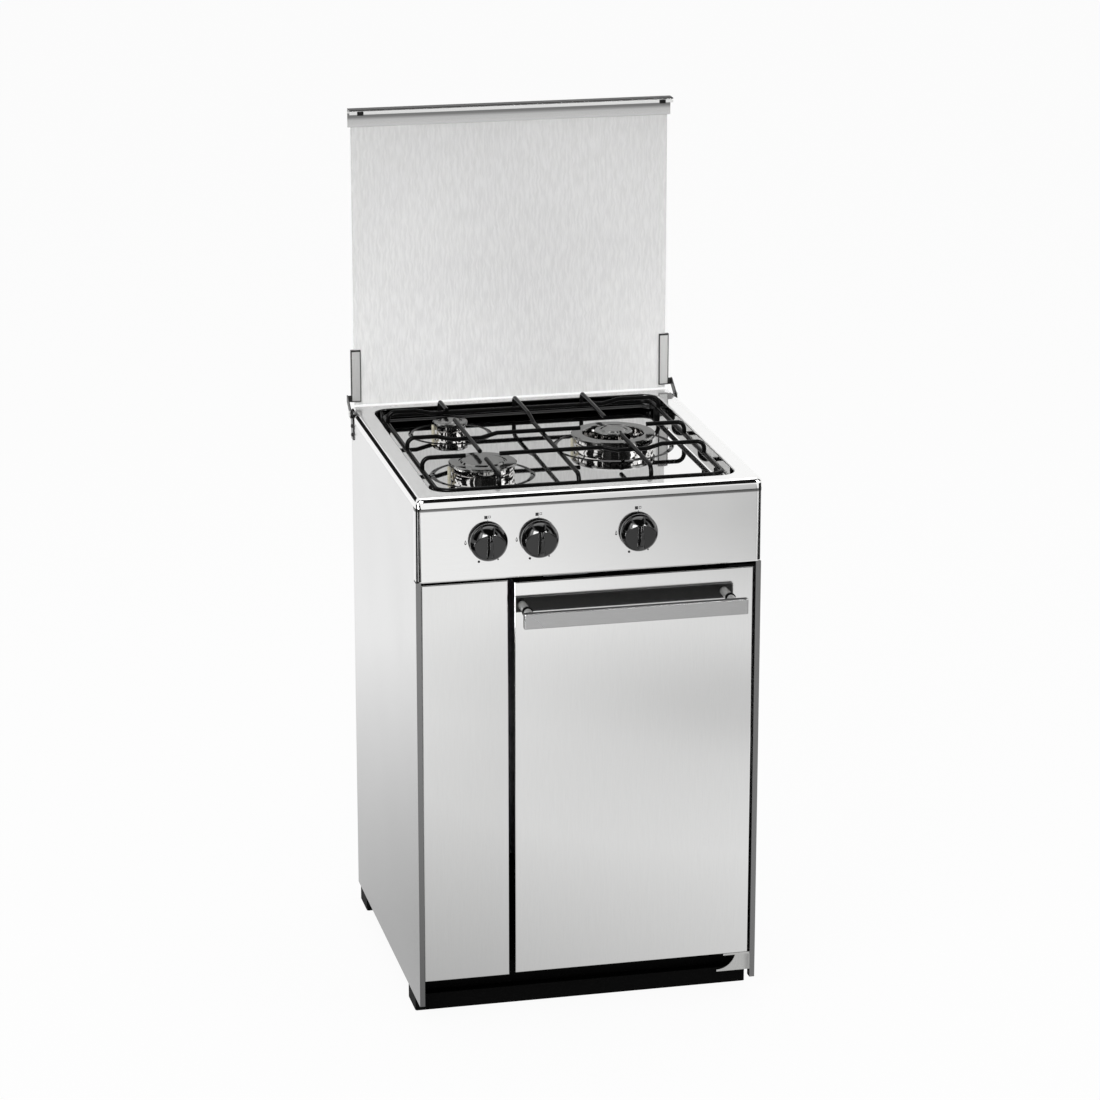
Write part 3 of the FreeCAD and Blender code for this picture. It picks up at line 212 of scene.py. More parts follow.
# Sheet metal: a fine grain along one way, and slow clouds in the polish
sheetSkin = {"grainDetail": 4, "cloud": 5, "cloudDetail": 2, "depth": 0.0005}
sheetMetals = {
    "doorSteel": {"colour": (0.84, 0.84, 0.835), "rough": (0.05, 0.09), "stretch": (60, 60, 1.5),
                  "grain": 30, "relief": 0.012, "vary": 0.97},
    "leftSteel": {"colour": (0.78, 0.78, 0.775), "rough": (0.05, 0.09), "stretch": (60, 60, 1.5),
                  "grain": 30, "relief": 0.012, "vary": 0.97},
    # Side panels: painted shade, darker on the faces that look to the front
    "sideSteel": {"colour": (0.75, 0.75, 0.75), "rough": (0.16, 0.24), "stretch": (40, 40, 1.5),
                  "grain": 30, "relief": 0.02, "vary": 0.96, "turned": ("Y", 0.30, 1.0, -0.9, -0.5)},
    # Control panel: painted shadow in a dark line along its top under the hob, and a painted dark reflection
    # line down its rounded corner
    "panelSteel": {"colour": (0.86, 0.86, 0.855), "rough": (0.10, 0.16), "stretch": (1.5, 50, 50),
                   "grain": 30, "relief": 0.015, "vary": 0.97, "corner": (-0.70, 0.20, 0.04),
                   "bands": [(0.66, 1.0), (0.7672, 1.0), (0.7686, 0.25), (0.7720, 0.15)]},
    # Hob: with rimMetal come the painted dark reflections along the beads and on the back wall
    "hobSteel": {"colour": (0.91, 0.91, 0.905), "rough": (0.02, 0.05), "stretch": (3, 3, 3),
                 "grain": 40, "relief": 0.006, "vary": 0.985,
                 "rimMetal": [(0.77, 1.0), (0.7865, 1.0), (0.7875, 0.65), (0.79, 0.65)]},
    # Handle bar: painted shade on the faces that look back to the door, so its reflection in the door is dark
    "handleSteel": {"colour": (0.46, 0.46, 0.46), "rough": (0.24, 0.34), "stretch": (1.2, 70, 70),
                    "grain": 40, "relief": 0.05, "vary": 0.88, "turned": ("Y", 1.0, 0.10, 0.5, 0.9)},
    # Lid lip: painted dark reflection on the faces that look up, which also lose metal and shine; painted
    # shade in a band under the front flange, with a lighter flange
    "lipSteel": {"colour": (0.80, 0.80, 0.795), "rough": (0.14, 0.22), "stretch": (1.2, 70, 70),
                 "grain": 40, "relief": 0.03, "vary": 0.94, "turned": ("Z", 1.0, 0.015, 0.3, 0.7),
                 "paintedTopDimsShine": True,
                 "bands": [(lidTop - 0.028, 0.72), (lidTop - 0.018, 0.62), (lidTop - 0.0135, 0.26),
                           (lidTop - 0.0075, 0.22), (lidTop - 0.0065, 0.92), (lidTop, 1.0)]},
    "postSteel": {"colour": (0.82, 0.82, 0.81), "rough": (0.22, 0.30), "stretch": (60, 2, 60),
                  "grain": 20, "relief": 0.02, "vary": 0.94, "metal": 0.45},
    "hingeSteel": {"colour": (0.06, 0.06, 0.06), "rough": (0.20, 0.32), "stretch": (20, 20, 20),
                   "grain": 20, "relief": 0.03, "vary": 0.9},
    "clipSteel": {"colour": (0.66, 0.66, 0.65), "rough": (0.30, 0.40), "stretch": (30, 30, 2),
                  "grain": 25, "relief": 0.03, "vary": 0.93, "metal": 0.45,
                  "border": {"x": (clipLow.x + 0.0014, clipLow.x + 0.0136),
                             "z": (clipHigh.z - 0.0785, clipHigh.z - 0.0025), "dark": 0.04, "blur": 0.0004}},
    "bracketSteel": {"colour": (0.62, 0.62, 0.61), "rough": (0.18, 0.28), "stretch": (30, 30, 2),
                     "grain": 25, "relief": 0.03, "vary": 0.93},
    "capSteel": {"colour": (0.26, 0.26, 0.255), "rough": (0.10, 0.16), "stretch": (1, 1, 1),
                 "grain": 700, "relief": 0.05, "vary": 0.9},
    "crownSteel": {"colour": (0.80, 0.79, 0.78), "rough": (0.03, 0.07), "stretch": (1, 1, 8),
                   "grain": 160, "relief": 0.02, "vary": 0.9},
    "drawnPipe": {"colour": (0.66, 0.67, 0.68), "rough": (0.25, 0.35), "stretch": (1, 1, 1),
                  "grain": 250, "relief": 0.04, "vary": 0.92},
    "turnedBrass": {"colour": (0.72, 0.53, 0.24), "rough": (0.22, 0.34), "stretch": (1, 1, 1),
                    "grain": 350, "relief": 0.05, "vary": 0.88},
}


def sheetMetal(name, look):
    finish, tree, shader = newFinish(name)
    grain = noise(tree, pointOn(tree, look["stretch"]), look["grain"], sheetSkin["grainDetail"])
    clouds = noise(tree, pointOn(tree), sheetSkin["cloud"], sheetSkin["cloudDetail"])
    colour = twoTones(tree, grain, shade(look["colour"], look["vary"]), look["colour"])
    shader.inputs["Metallic"].default_value = look.get("metal", 1.0)
    # Painted shade and painted reflection by the way a face looks: the side panels' front faces, the handle
    # bar's back and the lid lip's top
    if "turned" in look:
        amount = turned(tree, *look["turned"])
        colour = scaled(tree, colour, amount)
        # On the lid lip the painted dark top also takes away metal and shine
        if "paintedTopDimsShine" in look:
            tree.links.new(amount, shader.inputs["Metallic"])
            tree.links.new(amount, shader.inputs["Specular IOR Level"])
    # Painted shade by height
    if "bands" in look:
        colour = scaled(tree, colour, bands(tree, look["bands"]))
    if "border" in look:
        colour = scaled(tree, colour, border(tree, look["border"]))
    # Painted dark reflections along the hob's beads and on its back wall; the rim has less metal
    if "rimMetal" in look:
        colour = scaled(tree, colour, product(tree, [paintedBeadReflections(tree), paintedBackWallReflection(tree)]))
        tree.links.new(bands(tree, look["rimMetal"]), shader.inputs["Metallic"])
    # Painted dark reflection line where a face looks partly to the left, on the control panel's rounded
    # corner
    if "corner" in look:
        colour = scaled(tree, colour, closeTo(tree, axes(tree, "Normal")["X"], *look["corner"]))
    tree.links.new(colour, shader.inputs["Base Color"])
    tree.links.new(span(tree, clouds, *look["rough"]), shader.inputs["Roughness"])
    bump(tree, shader, grain, look["relief"], sheetSkin["depth"])
    return finish


# Embossed lid sheet: short wavy threads that run up the lid; its outer side loses its metal and shine;
# painted shade makes it darker towards its top
linen = {"colour": (0.95, 0.95, 0.945), "dark": (0.85, 0.85, 0.845), "ends": (0.36, 0.64),
         "thread": 330, "length": 0.12, "sway": 0.0012, "swayScale": 90, "cloud": 4,
         "rough": (0.42, 0.52), "relief": 0.10, "depth": 0.0006, "metal": 0.2, "shine": 0.5,
         "outerSide": (0.2, 0.6), "bands": [(0.79, 1.0), (1.0, 0.76), (1.23, 0.61)]}


def linenSteel():
    finish, tree, shader = newFinish("linenSteel")
    point = pointOn(tree)
    sway = noise(tree, point, linen["swayScale"], 1)
    lean = tree.nodes.new("ShaderNodeCombineXYZ")
    tree.links.new(span(tree, sway, -linen["sway"], linen["sway"]), lean.inputs["X"])
    squeeze = tree.nodes.new("ShaderNodeMapping")
    squeeze.inputs["Scale"].default_value = (1, 1, linen["length"])
    tree.links.new(vectors(tree, "ADD", point, lean.outputs["Vector"]), squeeze.inputs["Vector"])
    threads = noise(tree, squeeze.outputs["Vector"], linen["thread"], 2)
    colour = twoTones(tree, threads, linen["dark"], linen["colour"], linen["ends"])
    tree.links.new(scaled(tree, colour, bands(tree, linen["bands"])), shader.inputs["Base Color"])
    clouds = noise(tree, point, linen["cloud"], 2)
    tree.links.new(span(tree, clouds, *linen["rough"]), shader.inputs["Roughness"])
    for socket, inner in (("Metallic", linen["metal"]), ("Specular IOR Level", linen["shine"])):
        tree.links.new(turned(tree, "Y", inner, 0.0, *linen["outerSide"]), shader.inputs[socket])
    bump(tree, shader, threads, linen["relief"], linen["depth"])
    return finish


# Galvanised sheet inside the body: flat crystals of slightly different greys
zinc = {"light": (0.54, 0.55, 0.56), "dark": (0.46, 0.47, 0.48), "ends": (0.1, 0.9), "crystal": 105,
        "rough": (0.36, 0.52), "metal": 0.9, "skin": 240, "relief": 0.06, "depth": 0.0004}


def zincSheet():
    finish, tree, shader = newFinish("zincSheet")
    cells = tree.nodes.new("ShaderNodeTexVoronoi")
    cells.inputs["Scale"].default_value = zinc["crystal"]
    tree.links.new(pointOn(tree), cells.inputs["Vector"])
    split = tree.nodes.new("ShaderNodeSeparateColor")
    tree.links.new(cells.outputs["Color"], split.inputs["Color"])
    tones = twoTones(tree, split.outputs["Red"], zinc["dark"], zinc["light"], zinc["ends"])
    tree.links.new(tones, shader.inputs["Base Color"])
    tree.links.new(span(tree, split.outputs["Green"], *zinc["rough"], 0, 1), shader.inputs["Roughness"])
    shader.inputs["Metallic"].default_value = zinc["metal"]
    bump(tree, shader, noise(tree, pointOn(tree), zinc["skin"], 3), zinc["relief"], zinc["depth"])
    return finish


# Even coats: enamel on the wires, gloss knobs, satin plastic, rubber, ink and glazed ceramic
coatSkin = {"detail": 3, "dark": 0.8, "light": 1.15, "depth": 0.0004}
evenCoats = {
    "wireEnamel": {"colour": (0.004, 0.004, 0.004), "rough": (0.14, 0.22), "skin": 260, "relief": 0.05,
                   "shine": 0.06},
    "knobGloss": {"colour": (0.002, 0.002, 0.002), "rough": (0.07, 0.11), "skin": 500, "relief": 0.008,
                  "shine": 0.7},
    "satinBlack": {"colour": (0.002, 0.002, 0.002), "rough": (0.42, 0.56), "skin": 900, "relief": 0.12,
                   "shine": 0.04},
    "rubberBlack": {"colour": (0.004, 0.004, 0.004), "rough": (0.60, 0.75), "skin": 700, "relief": 0.2,
                    "shine": 0.1},
    "markInk": {"colour": (0.015, 0.015, 0.016), "rough": (0.45, 0.55), "skin": 1500, "relief": 0.05},
    "igniterCeramic": {"colour": (0.74, 0.70, 0.55), "rough": (0.18, 0.28), "skin": 600, "relief": 0.05,
                       "coat": 0.4, "coatRough": 0.08},
}


def coat(name, look):
    finish, tree, shader = newFinish(name)
    skin = noise(tree, pointOn(tree), look["skin"], coatSkin["detail"])
    tones = [shade(look["colour"], coatSkin[tone]) for tone in ("dark", "light")]
    tree.links.new(twoTones(tree, skin, *tones), shader.inputs["Base Color"])
    tree.links.new(span(tree, skin, *look["rough"]), shader.inputs["Roughness"])
    for key, socket in (("coat", "Coat Weight"), ("coatRough", "Coat Roughness"),
                        ("shine", "Specular IOR Level")):
        if key in look:
            shader.inputs[socket].default_value = look[key]
    bump(tree, shader, skin, look["relief"], coatSkin["depth"])
    return finish


finishes = {name: sheetMetal(name, look) for name, look in sheetMetals.items()}
finishes.update({name: coat(name, look) for name, look in evenCoats.items()})
finishes["linenSteel"] = linenSteel()
finishes["zincSheet"] = zincSheet()
print("finishes made:", len(finishes))

# Which finish each CAD node wears
wears = {
    "doorSteel": ["door_skin"],
    "leftSteel": ["left_front_panel"],
    "sideSteel": ["left_side_panel", "right_side_panel"],
    "panelSteel": ["control_panel"],
    "hobSteel": ["hob_top"],
    "linenSteel": ["lid_sheet"],
    "handleSteel": ["handle_bar"],
    "lipSteel": ["lid_lip"],
    "postSteel": ["handle_posts", "lid_pins"],
    "clipSteel": ["left_lid_clip", "right_lid_clip"],
    "bracketSteel": ["door_bottom_bracket"],
    "hingeSteel": ["left_hinge_bracket", "right_hinge_bracket", "door_bushes", "catch_plate"]
    + [burner + "_spindle" for burner in burners],
    "capSteel": ["aux_burner_cap", "rapid_burner_cap", "wok_outer_cap", "wok_inner_cap"],
    "crownSteel": ["aux_burner_crown", "rapid_burner_crown", "wok_outer_crown", "wok_inner_crown",
                   "aux_burner_cup", "rapid_burner_cup", "wok_burner_cup"],
    "drawnPipe": ["gas_rail"] + [burner + "_pipe" for burner in burners],
    "turnedBrass": ["injectors", "gas_inlet"]
    + [burner + end for burner in burners for end in ("_tap", "_tap_plug")],
    "zincSheet": ["back_panel", "door_liner"],
    "wireEnamel": ["pan_support"],
    "knobGloss": [burner + "_knob" for burner in burners],
    # Base pan, tap shelf and door top bracket wear black as painted shade, in the dark gaps under and above
    # the door
    "satinBlack": ["front_foot", "rear_foot", "base_pan", "tap_shelf", "door_top_bracket", "door_catch"],
    "rubberBlack": ["support_feet", "lid_bumpers"],
    "igniterCeramic": ["flame_probes"],
}
for finishName, wearers in wears.items():
    for wearer in wearers:
        nodes[wearer].data.materials.clear()
        nodes[wearer].data.materials.append(finishes[finishName])
bodyOf = {node: body for body, members in frame["record"]["behaviour"]["bodies"].items() for node in members}
print("nodes dressed")


# Helpers for the pieces made here

def addPiece(name, mesh, body, finish=None):
    piece = bpy.data.objects.new(name, mesh)
    bpy.context.scene.collection.objects.link(piece)
    if finish:
        mesh.materials.clear()
        mesh.materials.append(finishes[finish])
    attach(piece, body)
    return piece


def meshFrom(build, name):
    mesh = bpy.data.meshes.new(name)
    build.to_mesh(mesh)
    build.free()
    return mesh


def around(count):
    angles = [2 * math.pi * step / count for step in range(count)]
    return [(math.cos(angle), math.sin(angle)) for angle in angles]


# Neighbours along a closed loop
def pairs(loop):
    return list(zip(loop, loop[1:] + loop[:1]))


def wallBetween(build, lower, upper):
    for (first, second), (above, beyond) in zip(pairs(lower), pairs(upper)):
        build.faces.new((first, second, beyond, above))


def prism(build, front, rear):
    ends = [[build.verts.new(point) for point in outline] for outline in (front, rear)]
    build.faces.new(ends[0])
    build.faces.new(ends[1][::-1])
    wallBetween(build, *ends)


# A smooth-shaded copy of a CAD node stands for it where its round faces show
smoothing = {"hobAngle": 19, "angle": 35, "merge": 0.000004, "weight": 100}


def smoothCopy(node, angle):
    mesh = nodes[node].data.copy()
    build = bmesh.new()
    build.from_mesh(mesh)
    bmesh.ops.remove_doubles(build, verts=build.verts, dist=smoothing["merge"])
    for face in build.faces:
        face.smooth = True
    for edge in build.edges:
        edge.smooth = len(edge.link_faces) == 2 and edge.calc_face_angle(0) < math.radians(angle)
    build.to_mesh(mesh)
    build.free()
    mesh.name = node + "_smooth"
    copy = addPiece(node + "_smooth", mesh, bodyOf[node])
    even = copy.modifiers.new("evenNormals", "WEIGHTED_NORMAL")
    even.keep_sharp = True
    even.weight = smoothing["weight"]
    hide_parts(node)


roundNodes = ["hob_top", "handle_posts", "lid_pins", "left_hinge_bracket", "right_hinge_bracket",
              "left_lid_clip", "right_lid_clip", "door_bottom_bracket", "door_top_bracket", "door_bushes",
              "gas_rail", "gas_inlet", "front_foot", "rear_foot", "flame_probes", "injectors",
              "aux_burner_cup", "aux_burner_crown", "aux_burner_cap", "rapid_burner_cup",
              "rapid_burner_crown", "rapid_burner_cap", "wok_burner_cup", "wok_outer_crown",
              "wok_outer_cap", "wok_inner_crown", "wok_inner_cap"]
roundNodes += [burner + end for burner in burners for end in ("_tap", "_tap_plug", "_spindle", "_pipe")]
for roundNode in roundNodes:
    smoothCopy(roundNode, smoothing["hobAngle" if roundNode == "hob_top" else "angle"])
print("round nodes smoothed:", len(roundNodes))


# Geometry Nodes: what the trees share

def newTree(name, inputs):
    tree = bpy.data.node_groups.new(name, "GeometryNodeTree")
    tree.interface.new_socket("Geometry", in_out="INPUT", socket_type="NodeSocketGeometry")
    for socket, kind in inputs:
        tree.interface.new_socket(socket, in_out="INPUT", socket_type=kind)
    tree.interface.new_socket("Geometry", in_out="OUTPUT", socket_type="NodeSocketGeometry")
    return tree, tree.nodes.new("NodeGroupInput")


def joinUp(tree, links):
    for source, out, target, into in links:
        tree.links.new(source.outputs[out], target.inputs[into])


def endTree(tree, source, out, finish):
    real = tree.nodes.new("GeometryNodeRealizeInstances")
    dress = tree.nodes.new("GeometryNodeSetMaterial")
    dress.inputs["Material"].default_value = finish
    end = tree.nodes.new("NodeGroupOutput")
    joinUp(tree, [(source, out, real, "Geometry"), (real, "Geometry", dress, "Geometry"),
                  (dress, "Geometry", end, "Geometry")])


def setInput(modifier, name, value):
    for item in modifier.node_group.interface.items_tree:
        if item.item_type == "SOCKET" and item.in_out == "INPUT" and item.name == name:
            modifier[item.identifier] = value


def grown(mesh, tree, settings):
    holder = bpy.data.objects.new("holder", mesh)
    bpy.context.scene.collection.objects.link(holder)
    modifier = holder.modifiers.new("grow", "NODES")
    modifier.node_group = tree
    for name, value in settings.items():
        setInput(modifier, name, value)
    depsgraph = bpy.context.evaluated_depsgraph_get()
    result = bpy.data.meshes.new_from_object(holder.evaluated_get(depsgraph))
    bpy.data.objects.remove(holder)
    return result


def runsMesh(name, routes):
    mesh = bpy.data.meshes.new(name)
    points = []
    edges = []
    for route in routes:
        first = len(points)
        points += route
        edges += [(first + step, first + step + 1) for step in range(len(route) - 1)]
    mesh.from_pydata(points, edges, [])
    return mesh


# Bent wire along straight runs
def wireTree(finish, bendSteps):
    tree, start = newTree("bentWire", [("Wire Radius", "NodeSocketFloat"), ("Bend Radius", "NodeSocketFloat"),
                                       ("Sides", "NodeSocketInt")])
    runs = tree.nodes.new("GeometryNodeMeshToCurve")
    bend = tree.nodes.new("GeometryNodeFilletCurve")
    bend.mode = "POLY"
    bend.inputs["Count"].default_value = bendSteps
    bend.inputs["Limit Radius"].default_value = True
    ring = tree.nodes.new("GeometryNodeCurvePrimitiveCircle")
    sweep = tree.nodes.new("GeometryNodeCurveToMesh")
    sweep.inputs["Fill Caps"].default_value = True
    smooth = tree.nodes.new("GeometryNodeSetShadeSmooth")
    joinUp(tree, [(start, "Geometry", runs, "Mesh"), (runs, "Curve", bend, "Curve"),
                  (start, "Bend Radius", bend, "Radius"), (start, "Wire Radius", ring, "Radius"),
                  (start, "Sides", ring, "Resolution"), (bend, "Curve", sweep, "Curve"),
                  (ring, "Curve", sweep, "Profile Curve"), (sweep, "Mesh", smooth, "Geometry")])
    endTree(tree, smooth, "Geometry", finish)
    return tree


# One copy of a shape on every point, turned to a face
def copiesTree(name, shape, finish):
    tree, start = newTree(name, [("Facing", "NodeSocketVector"), ("Size", "NodeSocketFloat")])
    spots = tree.nodes.new("GeometryNodeMeshToPoints")
    single = tree.nodes.new("GeometryNodeObjectInfo")
    single.inputs["Object"].default_value = shape
    aim = tree.nodes.new("FunctionNodeAlignEulerToVector")
    aim.axis = "Z"
    copies = tree.nodes.new("GeometryNodeInstanceOnPoints")
    joinUp(tree, [(start, "Geometry", spots, "Mesh"), (start, "Facing", aim, "Vector"),
                  (spots, "Points", copies, "Points"), (single, "Geometry", copies, "Instance"),
                  (aim, "Rotation", copies, "Rotation"), (start, "Size", copies, "Scale")])
    endTree(tree, copies, "Instances", finish)
    return tree


def addCopies(name, build, spots, body, finish, facing=(0, 0, 1), size=1.0):
    shape = bpy.data.objects.new(name + "Shape", meshFrom(build, name + "Shape"))
    bpy.context.scene.collection.objects.link(shape)
    tree = copiesTree(name + "OnPoints", shape, finishes[finish])
    mesh = grown(runsMesh(name, [[spot] for spot in spots]), tree, {"Facing": facing, "Size": size})
    mesh.name = name
    bpy.data.objects.remove(shape)
    return addPiece(name, mesh, body, finish)


# Pan support: a ring and fingers of bent wire, welded where they cross
panSupport = {"lift": 0.004, "wire": 0.0035, "finger": 0.0032, "ringBend": 0.02, "fingerBend": 0.011,
              "bendSteps": 9, "sides": 20, "rise": 0.0225, "dip": 0.0059, "ringInset": 0.048,
              "stubEnd": 0.006, "barRear": 0.358, "barFront": 0.018, "dropStart": 0.05, "dropEnd": 0.09,
              "leftX": -0.120, "middleX": -0.005, "rightX": 0.100,
              "rapidU": 0.160, "wokU": 0.272, "backU": 0.424,
              "wokReach": 0.050, "rapidReach": 0.025, "slopeOut": 0.045, "slopeIn": 0.022}


def buildPanSupport():
    low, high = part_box("pan_support")
    wire = panSupport["wire"]
    side = high.x - wire
    near = low.y + wire
    far = high.y - wire
    ringZ = low.z + wire + panSupport["lift"]
    top = low.z + wire + panSupport["rise"]
    dip = top - panSupport["dip"]
    frontY = near - panSupport["ringInset"]
    rapid, wok, back = [frontY + panSupport[place] for place in ("rapidU", "wokU", "backU")]
    left, middle, right = [panSupport[place] for place in ("leftX", "middleX", "rightX")]
    reach = panSupport["wokReach"]
    short = panSupport["rapidReach"]
    slopeOut = panSupport["slopeOut"]
    slopeIn = panSupport["slopeIn"]

    def dipUnder(x, y):
        return [(x - slopeOut, y, top), (x - slopeIn, y, dip), (x + slopeIn, y, dip), (x + slopeOut, y, top)]

    fingers = [
        [(left, far, ringZ), (left, far, top), (left, back - panSupport["stubEnd"], top)],
        [(left, frontY + panSupport["barRear"], top), (left, rapid + panSupport["barFront"], top)],
        [(middle, far, ringZ), (middle, far, top), (middle, back - panSupport["dropStart"], top),
         (middle, back - panSupport["dropEnd"], dip), (middle, near, dip), (middle, near, ringZ)],
        [(right, far, ringZ), (right, far, top), (right, wok + reach, top)],
        [(right, near, ringZ), (right, near, top), (right, wok - reach, top)],
        [(left, near, ringZ), (left, near, top), (left, rapid - short, top)],
        [(-side, back, ringZ), (-side, back, top), *dipUnder(left, back)[:2], *dipUnder(right, back)[2:],
         (side, back, top), (side, back, ringZ)],
        [(-side, wok, ringZ), (-side, wok, top), *dipUnder(left, wok), (right - reach, wok, top)],
        [(side, wok, ringZ), (side, wok, top), (right + reach, wok, top)],
        [(-side, rapid, ringZ), (-side, rapid, top), (left - short, rapid, top)],
        [(left + short, rapid, top), *dipUnder(right, rapid), (side, rapid, top), (side, rapid, ringZ)],
    ]
    ring = [[(0, near, ringZ), (way * side, near, ringZ), (way * side, far, ringZ), (0, far, ringZ)]
            for way in (-1, 1)]
    tree = wireTree(finishes["wireEnamel"], panSupport["bendSteps"])
    build = bmesh.new()
    for routes, size, bend in ((ring, wire, panSupport["ringBend"]),
                               (fingers, panSupport["finger"], panSupport["fingerBend"])):
        part = grown(runsMesh("supportRuns", routes), tree,
                     {"Wire Radius": size, "Bend Radius": bend, "Sides": panSupport["sides"]})
        build.from_mesh(part)
    mesh = meshFrom(build, "panSupportWires")
    support = addPiece("panSupportWires", mesh, "cabinet", "wireEnamel")
    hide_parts("pan_support")


# Rubber feet that reach up to the ring
supportFeet = {"radius": 0.005, "bite": 0.001, "round": 0.0008, "roundSteps": 3, "sharp": 1.0, "turns": 32}


def buildSupportFeet():
    low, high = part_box("support_feet")
    radius = supportFeet["radius"]
    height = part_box("pan_support")[0].z + panSupport["lift"] + supportFeet["bite"] - low.z
    build = bmesh.new()
    bmesh.ops.create_cone(build, cap_ends=True, segments=supportFeet["turns"], radius1=radius,
                          radius2=radius, depth=height, matrix=Matrix.Translation((0, 0, height / 2)))
    sharp = [edge for edge in build.edges if edge.calc_face_angle() > supportFeet["sharp"]]
    bmesh.ops.bevel(build, geom=sharp, offset=supportFeet["round"], segments=supportFeet["roundSteps"],
                    profile=0.5, affect="EDGES")
    spots = [(x, y, low.z) for x in (low.x + radius, high.x - radius)
             for y in (low.y + radius, high.y - radius)]
    feet = addCopies("supportFeet", build, spots, "cabinet", "rubberBlack")
    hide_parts("support_feet")


buildPanSupport()
buildSupportFeet()
print("pan support bent")

# Knobs: a ball-shaped dome with two finger hollows that leave a tapered grip
knobShape = {"trim": 0.96, "rings": 56, "turns": 160, "skirt": 0.005, "floor": 0.0125, "hollow": 0.026,
             "drop": 0.0125, "gripTop": 0.004, "gripFoot": 0.009, "gripLength": 0.0455, "soft": 0.0018,
             "edge": 0.001, "backEdge": 0.0006, "domeInset": 0.0004}


def soft(value):
    value = min(1.0, max(0.0, value))
    return value * value * (3 - 2 * value)


def knobHeight(x, z, radius, tip):
    rise = tip - knobShape["skirt"]
    ball = (radius ** 2 + rise ** 2) / (2 * rise)
    dome = tip - ball + math.sqrt(ball ** 2 - x * x - z * z)
    arch = math.hypot(x, z + knobShape["drop"]) - knobShape["hollow"]
    taper = (knobShape["gripTop"] - knobShape["gripFoot"]) * (z + radius) / knobShape["gripLength"]
    flank = (knobShape["gripFoot"] + taper) / 2 - abs(x)
    inside = soft(0.5 - arch / knobShape["soft"]) * soft(0.5 - flank / knobShape["soft"])
    return dome + (min(dome, knobShape["floor"]) - dome) * inside


def buildKnob(burner):
    low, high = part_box(burner + "_knob")
    centre = (low + high) / 2
    radius = knobShape["trim"] * (high.x - low.x) / 2
    tip = high.y - low.y
    rings = [(radius - knobShape["backEdge"], 0.0), (radius, knobShape["backEdge"]),
             (radius, knobShape["skirt"] - knobShape["edge"])]
    rings += [((radius - knobShape["domeInset"]) * (1 - ring / knobShape["rings"]), None)
              for ring in range(knobShape["rings"])]  # None: the height comes from the dome
    circle = around(knobShape["turns"])
    build = bmesh.new()
    loops = []
    for size, height in rings:
        loop = []
        for x, z in [(size * across, size * upward) for across, upward in circle]:
            out = knobHeight(x, z, radius, tip) if height is None else height
            loop.append(build.verts.new((centre.x + x, high.y - out, centre.z + z)))
        loops.append(loop)
    for outer, inner in zip(loops, loops[1:]):
        wallBetween(build, outer, inner)
    for loop, out in ((loops[-1], tip), (loops[0][::-1], 0.0)):
        middle = build.verts.new((centre.x, high.y - out, centre.z))
        for first, second in pairs(loop):
            build.faces.new((first, second, middle))
    bmesh.ops.recalc_face_normals(build, faces=build.faces)
    for face in build.faces:
        face.smooth = True
    mesh = meshFrom(build, burner + "Knob")
    knob = addPiece(burner + "Knob", mesh, burner + "_knob_sliding", "knobGloss")
    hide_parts(burner + "_knob")


for burner in burners:
    buildKnob(burner)
print("knobs turned")

# Printed marks round the knobs: a filled and an open square over a line for off, a flame, two dots
marks = {"lift": 0.00015, "offUp": 0.0345, "offSide": 0.0052, "filledHalf": 0.0023,
         "openUp": 0.0004, "openHalf": 0.0017, "openHole": 0.0011,
         "lineHalf": 0.0004, "line": (0.0285, 0.0308),
         "flameOut": 0.0318, "flameTall": 0.0036, "flameHole": 0.5, "flameDrop": 0.0002,
         "flameWide": 0.62, "flameWaist": 0.55, "flameBelly": 0.45, "flameReach": 0.95, "flameSteps": 24,
         "dots": [(246, 0.0318, 0.0018), (298, 0.031, 0.0012)], "dotSteps": 20}


def plateOf(build, points, y):
    prism(build, [(x, y - marks["lift"], z) for x, z in points], [(x, y, z) for x, z in points])


def ringOf(build, outline, inner, y):
    rows = [[build.verts.new((x, y - up, z)) for x, z in points] for points, up in
            ((outline, 0), (outline, marks["lift"]), (inner, marks["lift"]), (inner, 0))]
    for below, above in pairs(rows):
        wallBetween(build, below, above)


def square(x, z, half):
    return [(x - half, z - half), (x + half, z - half), (x + half, z + half), (x - half, z + half)]


def flame(x, z, tall):
    return [(x + tall * marks["flameWide"] * across * (marks["flameWaist"] - marks["flameBelly"] * upward),
             z + tall * upward * marks["flameReach"]) for upward, across in around(marks["flameSteps"])]


